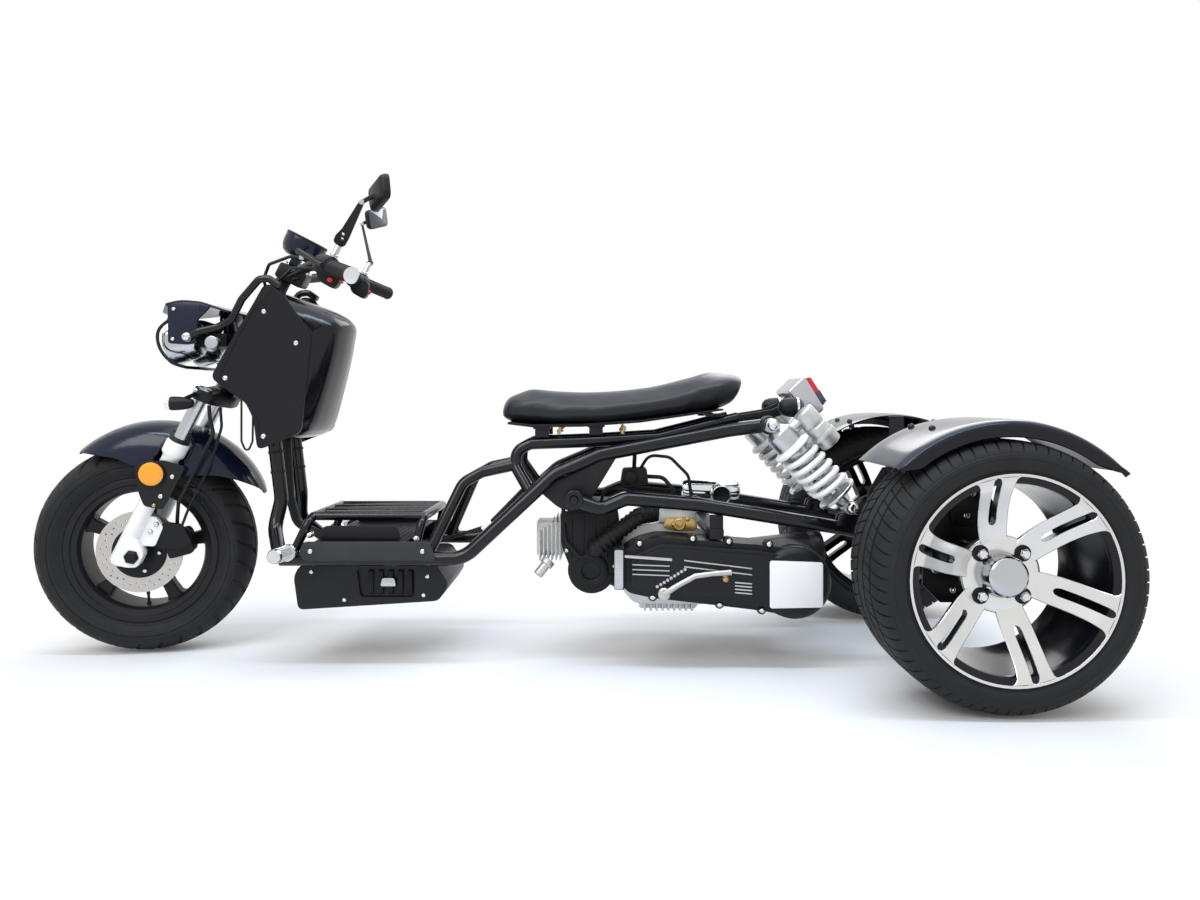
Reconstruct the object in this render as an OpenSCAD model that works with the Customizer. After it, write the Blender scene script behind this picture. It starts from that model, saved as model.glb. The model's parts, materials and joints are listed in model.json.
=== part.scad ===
// Motor trike with a tube frame, one steered front wheel and two driven rear wheels.
// Millimetres. +X is forward, +Y is the rider's left, +Z is up, the ground is at Z = 0.

/* [Wheels] */
// Distance between the front and rear axles
wheelbase = 1765; // [1650:5:1900]
// Front tyre outer diameter
front_tyre_d = 473; // [450:1:490]
// Front tyre width
front_tyre_w = 120; // [108:1:126]
// Front tyre height from the rim to the tread
front_sidewall = 84; // [76:1:90]
// Rear tyre outer diameter
rear_tyre_d = 498; // [480:1:515]
// Rear tyre width
rear_tyre_w = 205; // [185:1:220]
// Rear tyre height from the rim to the tread
rear_sidewall = 71; // [64:1:78]
// Distance between the two rear tyre centres
rear_track = 710; // [690:5:780]
// Wheel bolt circle diameter
lug_pcd = 110; // [100:1:120]

/* [Steering] */
// Steering axis rake from vertical, degrees
rake = 27; // [22:1:32]
// Steering angle as parked, to the left, degrees
steer_rest = 9; // [0:1:15]
// Half distance between the fork legs
fork_half = 85; // [80:1:95]
// Fork legs ahead of the steering axis
fork_lead = 25; // [15:1:35]
// Fork slider diameter
slider_d = 37; // [32:1:42]
// Fork tube diameter
fork_tube_d = 30; // [26:1:33]
// Height of the lower yoke above the axle, along the axis
yoke_w = 368; // [350:1:390]
// Yoke plate thickness
yoke_t = 24; // [18:1:30]
// Steering stem diameter
stem_d = 32; // [28:1:36]
// Running clearance of a shaft in its bore, on the radius
run_gap = 0.05; // [0.02:0.01:0.1]
// Half span of the handlebar
bar_half = 350; // [320:5:380]
// Handlebar tube diameter
bar_d = 22; // [20:1:25]
// Brake disc diameter
disc_d = 182; // [160:1:200]

/* [Frame] */
// Main frame tube diameter
rail_d = 30; // [26:1:34]
// Seat rail tube diameter
seat_rail_d = 25; // [20:1:28]
// Deck tube diameter
deck_tube_d = 19; // [16:1:22]
// Half distance between the main rails along the deck
deck_half = 150; // [140:1:165]
// Half distance between the main rails at the tail
tail_half = 112; // [106:1:118]
// Half distance between the seat rails
seat_half = 80; // [74:1:83]
// Height of the main rails above the ground, at their middle
rail_z = 234; // [225:1:250]
// Height of the foot deck tubes, at their middle
deck_z = 318; // [305:1:330]
// Front end of the deck
deck_front = 520; // [500:1:540]
// Rear end of the deck
deck_rear = 204; // [190:1:230]

/* [Seat and body] */
// Seat width
seat_w = 250; // [230:2:280]
// Height of the seat above the ground, at its lowest top
seat_z = 580; // [570:1:600]
// Fairing width over the side panels
fairing_w = 240; // [220:2:270]
// Sheet thickness of the body panels
panel_t = 5; // [4:0.5:7]
// Front fender width
front_fender_w = 176; // [168:2:184]
// Rear fender width
rear_fender_w = 248; // [236:2:260]
// Fender sheet thickness
fender_t = 3; // [2:0.5:4]

/* [Hidden] */
$fn = 48;
GLOSS = [0.03, 0.03, 0.05];
SATIN = [0.08, 0.08, 0.08];
RUBBER = [0.05, 0.05, 0.05];
ALLOY = [0.72, 0.73, 0.75];
CHROME = [0.85, 0.86, 0.88];
WHITE = [0.9, 0.9, 0.88];
AMBER = [0.95, 0.5, 0.05];
RED = [0.75, 0.05, 0.05];
SMOKE = [0.12, 0.12, 0.2];

// Clearance between pieces that are set against each other, and depth that pieces of one solid sink in
fit_gap = 0.3;
bite = 2;

// Front tyre crown and the lean that the parked steering angle gives the wheel
crown_r = 75;
lean = asin(sin(rake) * sin(steer_rest));
front_z = (front_tyre_d / 2 - crown_r) * cos(lean) + crown_r;
rear_z = rear_tyre_d / 2;
front_reach = (front_tyre_d / 2 - crown_r) * cos(steer_rest) + crown_r;
front_x = (wheelbase + rear_z - front_reach) / 2;
rear_x = front_x - wheelbase;
rear_y = rear_track / 2;

// The head tube sits on the yoke with a bearing gap
neck_gap = 6;
neck_w = yoke_w + yoke_t + neck_gap;
neck_h = 130;
neck_d = 54;
neck_x = front_x - neck_w * sin(rake);
neck_z = front_z + neck_w * cos(rake);

// Directions, offsets of a line, and the other side of the trike
function unit(v) = v / norm(v);
function bend_angle(a, b) = acos(min(1, max(-1, a * b)));
function heading(line, i) = unit(line[min(i + 1, len(line) - 1)] - line[max(i - 1, 0)]);
function normal_at(line, i) = let (d = heading(line, i)) [-d.y, d.x];
function back(line) = [for (i = [len(line) - 1 : -1 : 0]) line[i]];
function thick(line, t) =
    concat(line, back([for (i = [0 : len(line) - 1]) line[i] + normal_at(line, i) * t]));
function flip(pts) = [for (p = pts) [p.x, -p.y, p.z]];

// Points of a path with its corners rounded
function corner(p, v, q, r, n) =
    let (d0 = unit(v - p), d1 = unit(q - v), th = bend_angle(d0, d1), cut = r * tan(th / 2))
    th < 1 ? [v] :
    let (side = unit(d1 - (d1 * d0) * d0), c = v - d0 * cut + side * r)
    [for (k = [0 : n]) c + (d0 * sin(th * k / n) - side * cos(th * k / n)) * r];
function rounded(pts, r, n) = [pts[0],
    for (i = [1 : len(pts) - 2]) each corner(pts[i - 1], pts[i], pts[i + 1], r, n), pts[len(pts) - 1]];

// A round bar swept along a path
module sweep(path, d, sides) {
    last = len(path) - 1;
    tangents = [for (i = [0 : last]) heading(path, i)];
    first = unit(cross(tangents[0], abs(tangents[0].z) < 0.8 ? [0, 0, 1] : [0, 1, 0]));
    normals = [for (i = 0, n = first; i <= last; i = i + 1,
        n = i > last ? n : unit(n - (n * tangents[i]) * tangents[i])) n];
    points = [for (i = [0 : last]) let (b = cross(tangents[i], normals[i])) for (k = [0 : sides - 1])
        path[i] + d / 2 * (normals[i] * cos(360 * k / sides) + b * sin(360 * k / sides))];
    walls = [for (i = [0 : last - 1], k = [0 : sides - 1]) let (j = (k + 1) % sides, a = i * sides)
        [a + k, a + sides + k, a + sides + j, a + j]];
    polyhedron(points, concat(walls, [[for (k = [0 : sides - 1]) k]],
        [[for (k = [sides - 1 : -1 : 0]) last * sides + k]]), convexity = 8);
}
module tube(pts, d, bend) sweep(rounded(pts, bend, 4), d, 12);
module rod(a, b, d) {
    v = b - a;
    translate(a) rotate([0, acos(v.z / norm(v)), atan2(v.y, v.x)]) cylinder(d = d, h = norm(v));
}

// A curved sheet between rows of points, as thick as the shift
module shell(rows, shift) {
    n = len(rows[0]);
    m = len(rows);
    top = [for (row = rows, p = row) p];
    points = concat(top, [for (p = top) p + shift]);
    far = n * m;
    skin = [for (i = [0 : m - 2], k = [0 : n - 2]) let (a = i * n + k)
        each [[a, a + 1, a + n + 1], [a, a + n + 1, a + n]]];
    rim = concat([for (k = [0 : n - 1]) k], [for (i = [1 : m - 1]) i * n + n - 1],
        [for (k = [n - 2 : -1 : 0]) (m - 1) * n + k], [for (i = [m - 2 : -1 : 1]) i * n]);
    edge = [for (k = [0 : len(rim) - 1]) let (a = rim[k], b = rim[(k + 1) % len(rim)])
        each [[b, a, a + far], [b, a + far, b + far]]];
    under = [for (f = skin) [f[2] + far, f[1] + far, f[0] + far]];
    polyhedron(points, concat(skin, under, edge), convexity = 6);
}

// Places: an outline in X and Z pushed along Y, a bar along Y, a turning about Y, and the two sides
module side_plate(y0, y1) translate([0, y1, 0]) rotate([90, 0, 0]) linear_extrude(y1 - y0) children();
module bar_y(d, y0, y1) translate([0, y0, 0]) rotate([-90, 0, 0]) cylinder(d = d, h = y1 - y0);
module about_y(a0, a1) rotate([90, 0, 0]) rotate([0, 0, a0]) rotate_extrude(angle = a1 - a0) children();
module both() {
    children();
    mirror([0, 1, 0]) children();
}
module at_neck() translate([neck_x, 0, neck_z]) children();
module steered() translate([front_x, 0, front_z]) rotate([0, -rake, 0]) rotate([0, 0, steer_rest]) children();

// Main frame
weld_at = [-14, 33, 50];
knee_at = [-126, 64, -80];
shin_at = [44, 64, 350];
ankle_at = [52, 84, 290];
toe_x = 16;
downtube_bend = 55;
downtube_path = [[neck_x, 0, neck_z] + weld_at, [neck_x, 0, neck_z] + knee_at,
    [deck_front + shin_at.x, shin_at.y, shin_at.z], [deck_front + ankle_at.x, ankle_at.y, ankle_at.z],
    [deck_front + toe_x, deck_half, rail_z]];
module downtube() tube(downtube_path, rail_d, downtube_bend);
module downtube_left() color(GLOSS) downtube();
module downtube_right() color(GLOSS) mirror([0, 1, 0]) downtube();

panel_in = fairing_w / 2 - panel_t;
stay_d = 14;
stay_from = [-34, 22, 60];
stay_to = [-74, panel_in - 3.1, 60];
module head_tube() color(GLOSS) at_neck() difference() {
    union() {
        rotate([0, -rake, 0]) cylinder(d = neck_d, h = neck_h);
        both() rod(stay_from, stay_to, stay_d);
    }
    rotate([0, -rake, 0]) translate([0, 0, -1]) cylinder(r = stem_d / 2 + run_gap, h = neck_h + 2);
}

shock_top = [-500, 515];
shock_low = [-664, 344];
pivot = [-84, 359];
pivot_pin_d = 16;
pivot_pin_l = 52;
rail_bend = 70;
rail_path = [[deck_front + toe_x - 0.5, deck_half, rail_z], [150, deck_half, rail_z], [-38, 122, 408],
    [-139, tail_half, 451], [-415, tail_half, 504], [shock_top.x, tail_half, shock_top.y]];
gusset_y = tail_half + bite;
gusset_t = 6;
gusset_edge = [[-9, 372], [-60, 410], [-139, 430], [-182, 440], [-112, 344], [-84, 330], [-52, 336]];
rail_boss_d = 40;
rail_boss_half = 16;
module rail() {
    tube(rail_path, rail_d, rail_bend);
    side_plate(gusset_y, gusset_y + gusset_t) polygon(gusset_edge);
    translate([pivot.x, 0, pivot.y]) bar_y(pivot_pin_d, gusset_y, gusset_y + pivot_pin_l);
    translate([shock_top.x, tail_half, shock_top.y]) bar_y(rail_boss_d, -rail_boss_half, rail_boss_half);
}
module rail_left() color(GLOSS) rail();
module rail_right() color(GLOSS) mirror([0, 1, 0]) rail();

seat_rail_bend = 26;
riser_bend = 40;
seat_rail_path = [[6, 119, 362], [46, seat_half + 8, 425], [44, seat_half, 458], [14, seat_half, 473],
    [-117, seat_half, 478], [-268, seat_half, 487], [-440, seat_half, 530]];
riser_path = [[deck_rear + 22, deck_half - 8, rail_z + 8], [158, 100, 390], [118, 92, 412],
    [47, seat_half + 7, 427]];
module seat_rail() {
    tube(seat_rail_path, seat_rail_d, seat_rail_bend);
    tube(riser_path, seat_rail_d - 1, riser_bend);
}
module seat_rail_left() color(GLOSS) seat_rail();
module seat_rail_right() color(GLOSS) mirror([0, 1, 0]) seat_rail();

// Foot deck
hoop_x = deck_front - 40;
hoop_rear_x = deck_rear + 36;
hoop_half = 126;
hoop_foot = [deck_half - 8, rail_z + 8];
hoop_bend = 30;
rack_y = [-105, -35, 35, 105];
module hoop(foot_x, top_x) {
    side = [[foot_x, hoop_foot.x, hoop_foot.y], [top_x, hoop_half, deck_z]];
    tube(concat(side, back(flip(side))), deck_tube_d, hoop_bend);
}
module deck_rack() color(GLOSS) {
    hoop(deck_front - 8, hoop_x);
    hoop(deck_rear + 52, hoop_rear_x);
    for (y = rack_y) rod([hoop_rear_x, y, deck_z], [hoop_x, y, deck_z], deck_tube_d - 1);
}
floor_z = 268;
floor_t = 5;
skirt_y = deck_half + rail_d / 2 + fit_gap;
skirt_t = 4;
skirt_low = 233;
wall_top = 303;
wall_t = 6;
floor_x = [deck_rear + 66, deck_front - 58];
skirt_edge = [[deck_rear, skirt_low], [deck_front - 40, skirt_low], [deck_front - 29, skirt_low + 14],
    [deck_front - 38, floor_z + floor_t], [deck_rear + 14, floor_z + floor_t]];
module deck_panels() color(SATIN) {
    translate([floor_x[0], -skirt_y - bite, floor_z])
        cube([floor_x[1] - floor_x[0], 2 * (skirt_y + bite), floor_t]);
    both() side_plate(skirt_y, skirt_y + skirt_t) polygon(skirt_edge);
    both() translate([deck_rear + 76, deck_half - wall_t, floor_z + floor_t - 1])
        cube([deck_front - deck_rear - 140, wall_t, wall_top - floor_z - floor_t + 1]);
}
box_low = 118;
box_top = rail_z - 10;
box_half = 116;
flange_half = deck_half - rail_d / 2 - 0.2;
flange_t = 14;
box_edge = [[deck_front - 10, box_top - 14], [deck_front, box_top - 36], [deck_front - 10, box_low],
    [deck_rear + 4, box_low + 19], [deck_rear - 18, box_low + 54], [deck_rear + 14, box_top],
    [deck_front - 40, box_top]];
window_edge = [[260, 146], [376, 146], [384, 207], [260, 207]];
window_depth = 12;
module battery_box() color(SATIN) {
    difference() {
        side_plate(-box_half, box_half) polygon(box_edge);
        both() side_plate(box_half - window_depth, box_half + 1) polygon(window_edge);
    }
    translate([deck_rear + 50, -flange_half, box_top - 4])
        cube([deck_front - deck_rear - 110, 2 * flange_half, flange_t]);
}
peg_x = deck_front - 8;
peg_z = rail_z + 16;
peg_in = deck_half + rail_d / 2 + fit_gap;
peg_d = 30;
peg_l = 90;
peg_flange_t = 14;
peg_flange_d = 36;
peg_rise = 4;
module foot_pegs() color(CHROME) both() translate([peg_x, peg_in - 1, peg_z]) rotate([peg_rise - 90, 0, 0]) {
    cylinder(d = peg_d, h = peg_l);
    cylinder(d = peg_flange_d, h = peg_flange_t);
}

// Seat
seat_top = [[75, -44], [58, 2], [23, 8], [-34, 3], [-111, 0], [-188, 4], [-265, 14], [-341, 33], [-391, 48],
    [-418, 49], [-446, 33]];
seat_low = [[-414, -30], [-326, -44], [-226, -58], [-149, -66], [-34, -69], [42, -65], [69, -55]];
seat_plan = [[80, 70], [50, seat_w / 2 - 22], [-120, seat_w / 2], [-360, seat_w / 2],
    [-450, seat_w / 2 - 45]];
module seat_pad() color(SATIN) intersection() {
    side_plate(-seat_w / 2, seat_w / 2) translate([0, seat_z]) polygon(concat(seat_top, seat_low));
    translate([0, 0, seat_z - 100]) linear_extrude(200)
        polygon(concat(seat_plan, back([for (p = seat_plan) [p.x, -p.y]])));
}
pad_l = 30;
pad_half = 10;
pad_x = [-12, -130, -386];
function rail_top(x) =
    lookup(x, [for (p = seat_rail_path) if (p.z > 465) [p.x, p.z]]) + seat_rail_d / 2 + 0.5 + fit_gap;
function seat_under(x) = seat_z + lookup(x, seat_low) - fit_gap;
module seat_pan() color(SATIN) both() for (x = pad_x) {
    z0 = max(rail_top(x - pad_l / 2), rail_top(x + pad_l / 2));
    z1 = min(seat_under(x - pad_l / 2), seat_under(x + pad_l / 2));
    translate([x - pad_l / 2, seat_half - pad_half, z0]) cube([pad_l, 2 * pad_half, z1 - z0]);
}

// Leg shield fairing, drawn from the bottom of the head tube: side panels with a raised border, rear cover
panel_edge = [[-128, 228], [-158, 222], [-229, 117], [-207, -92], [-113, -130], [-104, -61], [-88, -28],
    [-12, 26], [-60, 112], [-100, 178]];
panel_field = [[-128, 198], [-214, 108], [-194, -84], [-120, -112], [-114, -62], [-94, -38], [-30, 26],
    [-72, 114], [-106, 172]];
field_depth = 2;
module fairing_side() at_neck() difference() {
    side_plate(panel_in, fairing_w / 2) polygon(panel_edge);
    side_plate(fairing_w / 2 - field_depth, fairing_w / 2 + 1) polygon(panel_field);
}
module fairing_left() color(GLOSS) fairing_side();
module fairing_right() color(GLOSS) mirror([0, 1, 0]) fairing_side();
cover_half = panel_in - fit_gap;
cover_mid = [[-150, 214], [-271, 164], [-278, 108], [-244, -26], [-221, -86], [-194, -102]];
cover_side = [[-152, 214], [-211, 138], [-226, 110], [-215, -10], [-207, -72], [-190, -96]];
cover_share = [0, 0.72, 0.94, 1, 0.94, 0.72, 0];
cover_at = [-1, -0.72, -0.36, 0, 0.36, 0.72, 1];
cover_shift = [panel_t, 0, -4];
module fairing_rear() color(GLOSS) at_neck() shell([for (i = [0 : len(cover_at) - 1])
    [for (k = [0 : len(cover_mid) - 1])
        let (p = cover_side[k] + (cover_mid[k] - cover_side[k]) * cover_share[i])
        [p.x, cover_at[i] * cover_half, p.y]]], cover_shift);

// Head lamps with their hood and guard, drawn from the bottom of the head tube
lamp_y = 62;
lamp_d = 112;
lamp_back_d = 70;
lamp_l = 60;
lamp_at = [32, 110];
lens_t = 12;
lens_d = [106, 86];
bridge_low = [-30, -80, 96];
bridge_size = [63, 160, 28];
module lamp_places() both() translate([lamp_at.x, lamp_y, lamp_at.y]) rotate([0, 90, 0]) children();
module headlamps() color(SATIN) at_neck() {
    lamp_places() cylinder(d1 = lamp_back_d, d2 = lamp_d, h = lamp_l);
    difference() {
        translate(bridge_low) cube(bridge_size);
        rotate([0, -rake, 0]) translate([0, 0, -bite])
            cylinder(d = neck_d + 2 * fit_gap, h = neck_h + 2 * bite);
    }
}
module headlamp_lenses() color(CHROME) at_neck() lamp_places()
    translate([0, 0, lamp_l + fit_gap]) cylinder(d1 = lens_d[0], d2 = lens_d[1], h = lens_t);
hood_half = 132;
hood_line = [[-56, 169], [-46, 172], [5, 189], [48, 192], [73, 186], [116, 172]];
hood_plan = [[-70, hood_half], [78, hood_half], [112, 70], [116, 0]];
cheek_edge = [[74, 183], [48, 189], [5, 186], [-18, 177], [10, 150], [14, 100], [29, 96], [73, 99]];
cheek_t = 6;
post_low = [-18, -40, bridge_low.z + bridge_size.z + fit_gap];
post_size = [12, 80, 56];
hoop_d = 7;
lamp_hoop = [[70, 129, 146], [97, 129, 115], [64, 122, 55], [48, 100, 49]];
module headlamp_hood() color(GLOSS) at_neck() {
    intersection() {
        side_plate(-hood_half, hood_half) polygon(thick(hood_line, -panel_t));
        translate([0, 0, neck_h]) linear_extrude(neck_h)
            polygon(concat(hood_plan, back([for (p = hood_plan) if (p.y > 0) [p.x, -p.y]])));
    }
    both() side_plate(hood_half - cheek_t, hood_half) polygon(cheek_edge);
    translate(post_low) cube(post_size);
    tube(concat(lamp_hoop, back(flip(lamp_hoop))), hoop_d, 14);
}
guard_d = 16;
guard_y = fairing_w / 2 + guard_d / 2 + fit_gap;
guard_end = hood_half + guard_d / 2 + fit_gap;
guard_bend = 14;
guard_path = [[-162, guard_y, 222], [-140, guard_y, 238], [-120, guard_y, 236], [-83, guard_y, 193],
    [-61, guard_y, 149], [-33, guard_y, 134], [4, guard_end, 124], [28, guard_end, 111]];
module headlamp_guard() color(GLOSS) at_neck() both() tube(guard_path, guard_d, guard_bend);

// Engine
arm_half = 142;
arm_d = 30;
hanger_x = -385;
hanger_l = 30;
hanger_z = [275, 297];
hanger_foot = [23, 100, 28];
function arm_height(x) = lookup(x, [for (p = arm_path) if (p.x < -190) [p.x, p.z]]);
function arm_under(x) = min(arm_height(x - hanger_l / 2), arm_height(x + hanger_l / 2)) - arm_d / 2;
crank_side = [-95, 58];
crank_edge = [[-186, 150], [-215, 118], [-372, 116], [-400, 150], [-400, 262], [-330, 300], [-186, 290]];
gearbox_side = [-40, 57];
gearbox_edge = [[-398, 152], [-560, 130], [-600, 185], [-560, 240], [-398, 255]];
sump_side = [-60, 40];
sump_edge = [[-226, 119], [-226, 104], [-350, 102], [-362, 118]];
module crankcase() color(ALLOY) {
    side_plate(crank_side[0], crank_side[1]) polygon(crank_edge);
    side_plate(gearbox_side[0], gearbox_side[1]) polygon(gearbox_edge);
    side_plate(sump_side[0], sump_side[1]) polygon(sump_edge);
    translate([hanger_x - hanger_foot.x / 2, -hanger_foot.y / 2, hanger_z[0] - hanger_foot.z + bite])
        cube(hanger_foot);
    translate([hanger_x - hanger_l / 2, -arm_half - 10, hanger_z[0]])
        cube([hanger_l, 2 * arm_half + 20, hanger_z[1] - hanger_z[0]]);
    both() translate([hanger_x - hanger_l / 2 + 1, arm_half - 8, hanger_z[1] - 1])
        cube([hanger_l - 2, 16, arm_under(hanger_x) - hanger_z[1] + 1 - fit_gap]);
}
shroud_side = [-70, 80];
shroud_edge = [[-54, 346], [-176, 340], [-185.7, 280], [-185.7, 190], [-78, 190], [-54, 250]];
shroud_drum = [-120, 196];
shroud_drum_d = 104;
module cylinder_shroud() color(SATIN) {
    side_plate(shroud_side[0], shroud_side[1]) polygon(shroud_edge);
    translate([shroud_drum.x, 0, shroud_drum.y])
        bar_y(shroud_drum_d, shroud_side[0] + bite, shroud_side[1] - bite);
}
cvt_in = crank_side[1] + fit_gap;
cvt_mid = 150;
cvt_out = 170;
cvt_edge = [[-186, 250], [-222, 270], [-264, 280], [-493, 262], [-549, 255], [-549, 110], [-473, 125],
    [-243, 152], [-200, 162], [-186, 175]];
cvt_face = [[-204, 240], [-264, 268], [-480, 252], [-540, 240], [-540, 135], [-473, 138], [-243, 162],
    [-204, 178]];
cvt_drum = [-549, 185];
cvt_drum_d = 158;
cvt_rib_t = 4;
cvt_ribs = [[[-314, 236], [-456, 219], [-456, 214], [-314, 231]], [[-314, 223], [-456, 208], [-456, 203],
    [-314, 218]], [[-192, 247], [-289, 239], [-289, 233], [-192, 241]]];
cvt_front_y = 122;
cvt_front_edge = [[-168, 258], [-190, 258], [-190, 172], [-168, 172]];
module cvt_cover() color(SATIN) {
    side_plate(cvt_in, cvt_mid) polygon(cvt_edge);
    side_plate(cvt_mid - 1, cvt_out) polygon(cvt_face);
    translate([cvt_drum.x, 0, cvt_drum.y]) bar_y(cvt_drum_d, cvt_in + 0.2, cvt_out - 1);
    side_plate(cvt_front_y, cvt_out + 2) polygon(cvt_front_edge);
    for (edge = cvt_ribs) side_plate(cvt_out - 1, cvt_out + cvt_rib_t) polygon(edge);
}
kick_at = [-272, 166];
kick_hub_d = 26;
kick_hub_t = 14;
kick_d = 11;
kick_path = [[kick_at.x, cvt_out + 9, kick_at.y], [-336, cvt_out + 12, 204], [-411, cvt_out + 14, 212]];
module kick_lever() color(SATIN) {
    translate([kick_at.x, 0, kick_at.y]) bar_y(kick_hub_d, cvt_out + fit_gap, cvt_out + kick_hub_t);
    tube(kick_path, kick_d, 16);
}
carb_low = [-350, 26, 300 + fit_gap];
carb_size = [82, 52, 32];
carb_plate_edge = [[-272, 283], [-351, 283], [-351, 318], [-272, 318]];
boot_d = 38;
boot_path = [[-128, shroud_side[1] + fit_gap, 246], [-128, 104, 246], [-222, 104, 318], [-262, 60, 319]];
module carburettor() color(SATIN) {
    translate(carb_low) cube(carb_size);
    side_plate(carb_low.y + carb_size.y - 1, carb_low.y + carb_size.y + 4) polygon(carb_plate_edge);
    tube(boot_path, boot_d, 14);
    rod([-262, 60, 319], [-270, 56, 319], boot_d - 12);
}
can_d = 40;
can_z = 372;
can_x = [-320, -448];
can_y = carb_low.y + carb_size.y / 2;
mouth_x = -402;
mouth_d = 44;
mouth_l = 46;
module intake() color(CHROME) {
    rod([can_x[0], can_y, can_z], [can_x[1], can_y, can_z - 4], can_d);
    rod([carb_low.x + 14, can_y, carb_low.z + carb_size.z + fit_gap],
        [carb_low.x + 14, can_y, can_z], can_d - 8);
    difference() {
        rod([mouth_x, can_y, can_z - 4], [mouth_x, can_y + mouth_l, can_z - 10], mouth_d);
        rod([mouth_x, can_y + mouth_l - 14, can_z - 8],
            [mouth_x, can_y + mouth_l + 10, can_z - 11], mouth_d - 6);
    }
}
pipe_d = 32;
muffler_d = 88;
muffler_from = [-330, -165, 164];
muffler_to = [-690, -172, 204];
pipe_path = [[-120, shroud_side[0] + bite - 4.6, 172], [-120, -124, 158], [-190, -150, 122],
    [-300, -162, 150],
    [muffler_from.x - 20, muffler_from.y, muffler_from.z + 2]];
module exhaust() color(SATIN) {
    tube(pipe_path, pipe_d, 30);
    rod(muffler_from, muffler_to, muffler_d);
}

// Rear suspension and axle
eye_d = 30;
eye_half = 20;
arm_boss_d = 40;
arm_boss_half = 17;
arm_bend = 40;
arm_path = [[pivot.x - 10, arm_half, pivot.y - 5], [pivot.x - 57, arm_half, 337], [-194, arm_half, 360],
    [-350, arm_half, 347], [-663, arm_half, 296], [rear_x + 40, arm_half, rear_z + 8]];
ear_half = 14;
ear_top = shock_low.y - eye_d / 2 - fit_gap;
ear_edge = [[shock_low.x + 20, ear_top], [shock_low.x - 20, ear_top], [shock_low.x - 30, 290],
    [shock_low.x + 30, 296]];
housing_d = 84;
module swingarm() difference() {
    union() {
        tube(arm_path, arm_d, arm_bend);
        translate([pivot.x, arm_half, pivot.y]) bar_y(arm_boss_d, -arm_boss_half, arm_boss_half);
        side_plate(arm_half - ear_half, arm_half + ear_half) polygon(ear_edge);
    }
    translate([pivot.x, 0, pivot.y]) bar_y(pivot_pin_d + 0.4, 0, 2 * arm_half);
    translate([rear_x, 0, rear_z]) bar_y(housing_d + 2 * fit_gap, 0, 2 * arm_half);
}
module swingarm_left() color(GLOSS) swingarm();
module swingarm_right() color(GLOSS) mirror([0, 1, 0]) swingarm();
housing_half = rear_y - rear_tyre_w / 2 - 16;
axle_tube_d = 64;
seat_ring_half = 26;
gear_d = 150;
gear_side = [-30, 40];
shaft_d = 34;
module axle_housing() color(SATIN) translate([rear_x, 0, rear_z]) difference() {
    union() {
        bar_y(axle_tube_d, -housing_half, housing_half);
        both() bar_y(housing_d, arm_half - seat_ring_half, arm_half + seat_ring_half);
        bar_y(gear_d, gear_side[0], gear_side[1]);
    }
    bar_y(shaft_d + 2 * run_gap, -rear_y, rear_y);
}
spring_d = 84;
wire_d = 12;
spring_turns = 6.5;
perch_d = 90;
perch_t = 8;
perch_at = [22, 34];
damper_d = 52;
damper_l = 90;
damper_rod_d = 22;
shock_y = tail_half + rail_boss_half + fit_gap + eye_half;
shock_len = norm(shock_low - shock_top);
shock_tilt = 180 + atan2(shock_top.x - shock_low.x, shock_top.y - shock_low.y);
can2_d = 48;
can2_x = 67;
can2_z = [22, 117];
module at_shock() translate([shock_top.x, shock_y, shock_top.y]) rotate([0, shock_tilt, 0]) children();
module shocks() color(ALLOY) both() at_shock() {
    for (z = [0, shock_len]) translate([0, 0, z]) bar_y(eye_d, -eye_half, eye_half);
    cylinder(d = damper_rod_d, h = shock_len - 4);
    translate([0, 0, perch_at[0]]) cylinder(d = perch_d, h = perch_t);
    translate([0, 0, perch_at[0] + perch_t - 1]) cylinder(d = damper_d, h = damper_l);
    translate([0, 0, shock_len - perch_at[1] - perch_t]) cylinder(d = perch_d, h = perch_t);
    translate([can2_x, 0, can2_z[0] + 1]) cylinder(d = can2_d, h = can2_z[1] - can2_z[0]);
}
helix_steps = 14;
module helix(r, d, h, turns) sweep([for (i = [0 : turns * helix_steps]) let (a = 360 * i / helix_steps)
    [r * cos(a), r * sin(a), h * i / (turns * helix_steps)]], d, 6);
spring_from = perch_at[0] + perch_t + fit_gap;
spring_to = shock_len - perch_at[1] - perch_t - fit_gap;
module shock_springs() color(WHITE) both() at_shock() translate([0, 0, spring_from + wire_d / 2])
    helix((spring_d - wire_d) / 2, wire_d, spring_to - spring_from - wire_d, spring_turns);

// Rear fenders
rear_fender_gap = 37;
rear_fender_r = rear_tyre_d / 2 + rear_fender_gap;
fender_in = rear_y - 165;
fender_out = fender_in + rear_fender_w;
fender_from = 44;
fender_to = 138;
skirt_drop = 30;
bracket_half = [24, 18];
bracket_y = [fender_in - 12, fender_in - 6];
bracket_top = rear_fender_r - 12;
rear_fender_line = [[rear_fender_r - 4, -fender_in], [rear_fender_r, -fender_in - 60],
    [rear_fender_r, 14 - fender_out], [rear_fender_r - 6, -fender_out],
    [rear_fender_r - skirt_drop, -fender_out],
    [rear_fender_r - skirt_drop, fender_t - fender_out], [rear_fender_r - 8, fender_t - fender_out],
    [rear_fender_r - fender_t, 16 - fender_out], [rear_fender_r - fender_t, -fender_in - 60],
    [rear_fender_r - 4 - fender_t, -fender_in]];
module rear_fender() translate([rear_x, 0, rear_z]) {
    about_y(fender_from, fender_to) polygon(rear_fender_line);
    side_plate(bracket_y[0], bracket_y[1]) polygon([[-bracket_half[0], axle_tube_d / 2 + fit_gap],
        [bracket_half[0], axle_tube_d / 2 + fit_gap], [bracket_half[1], bracket_top],
        [-bracket_half[1], bracket_top]]);
    translate([-bracket_half[1], bracket_y[0], bracket_top]) cube([2 * bracket_half[1], 40, 8]);
}
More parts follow.
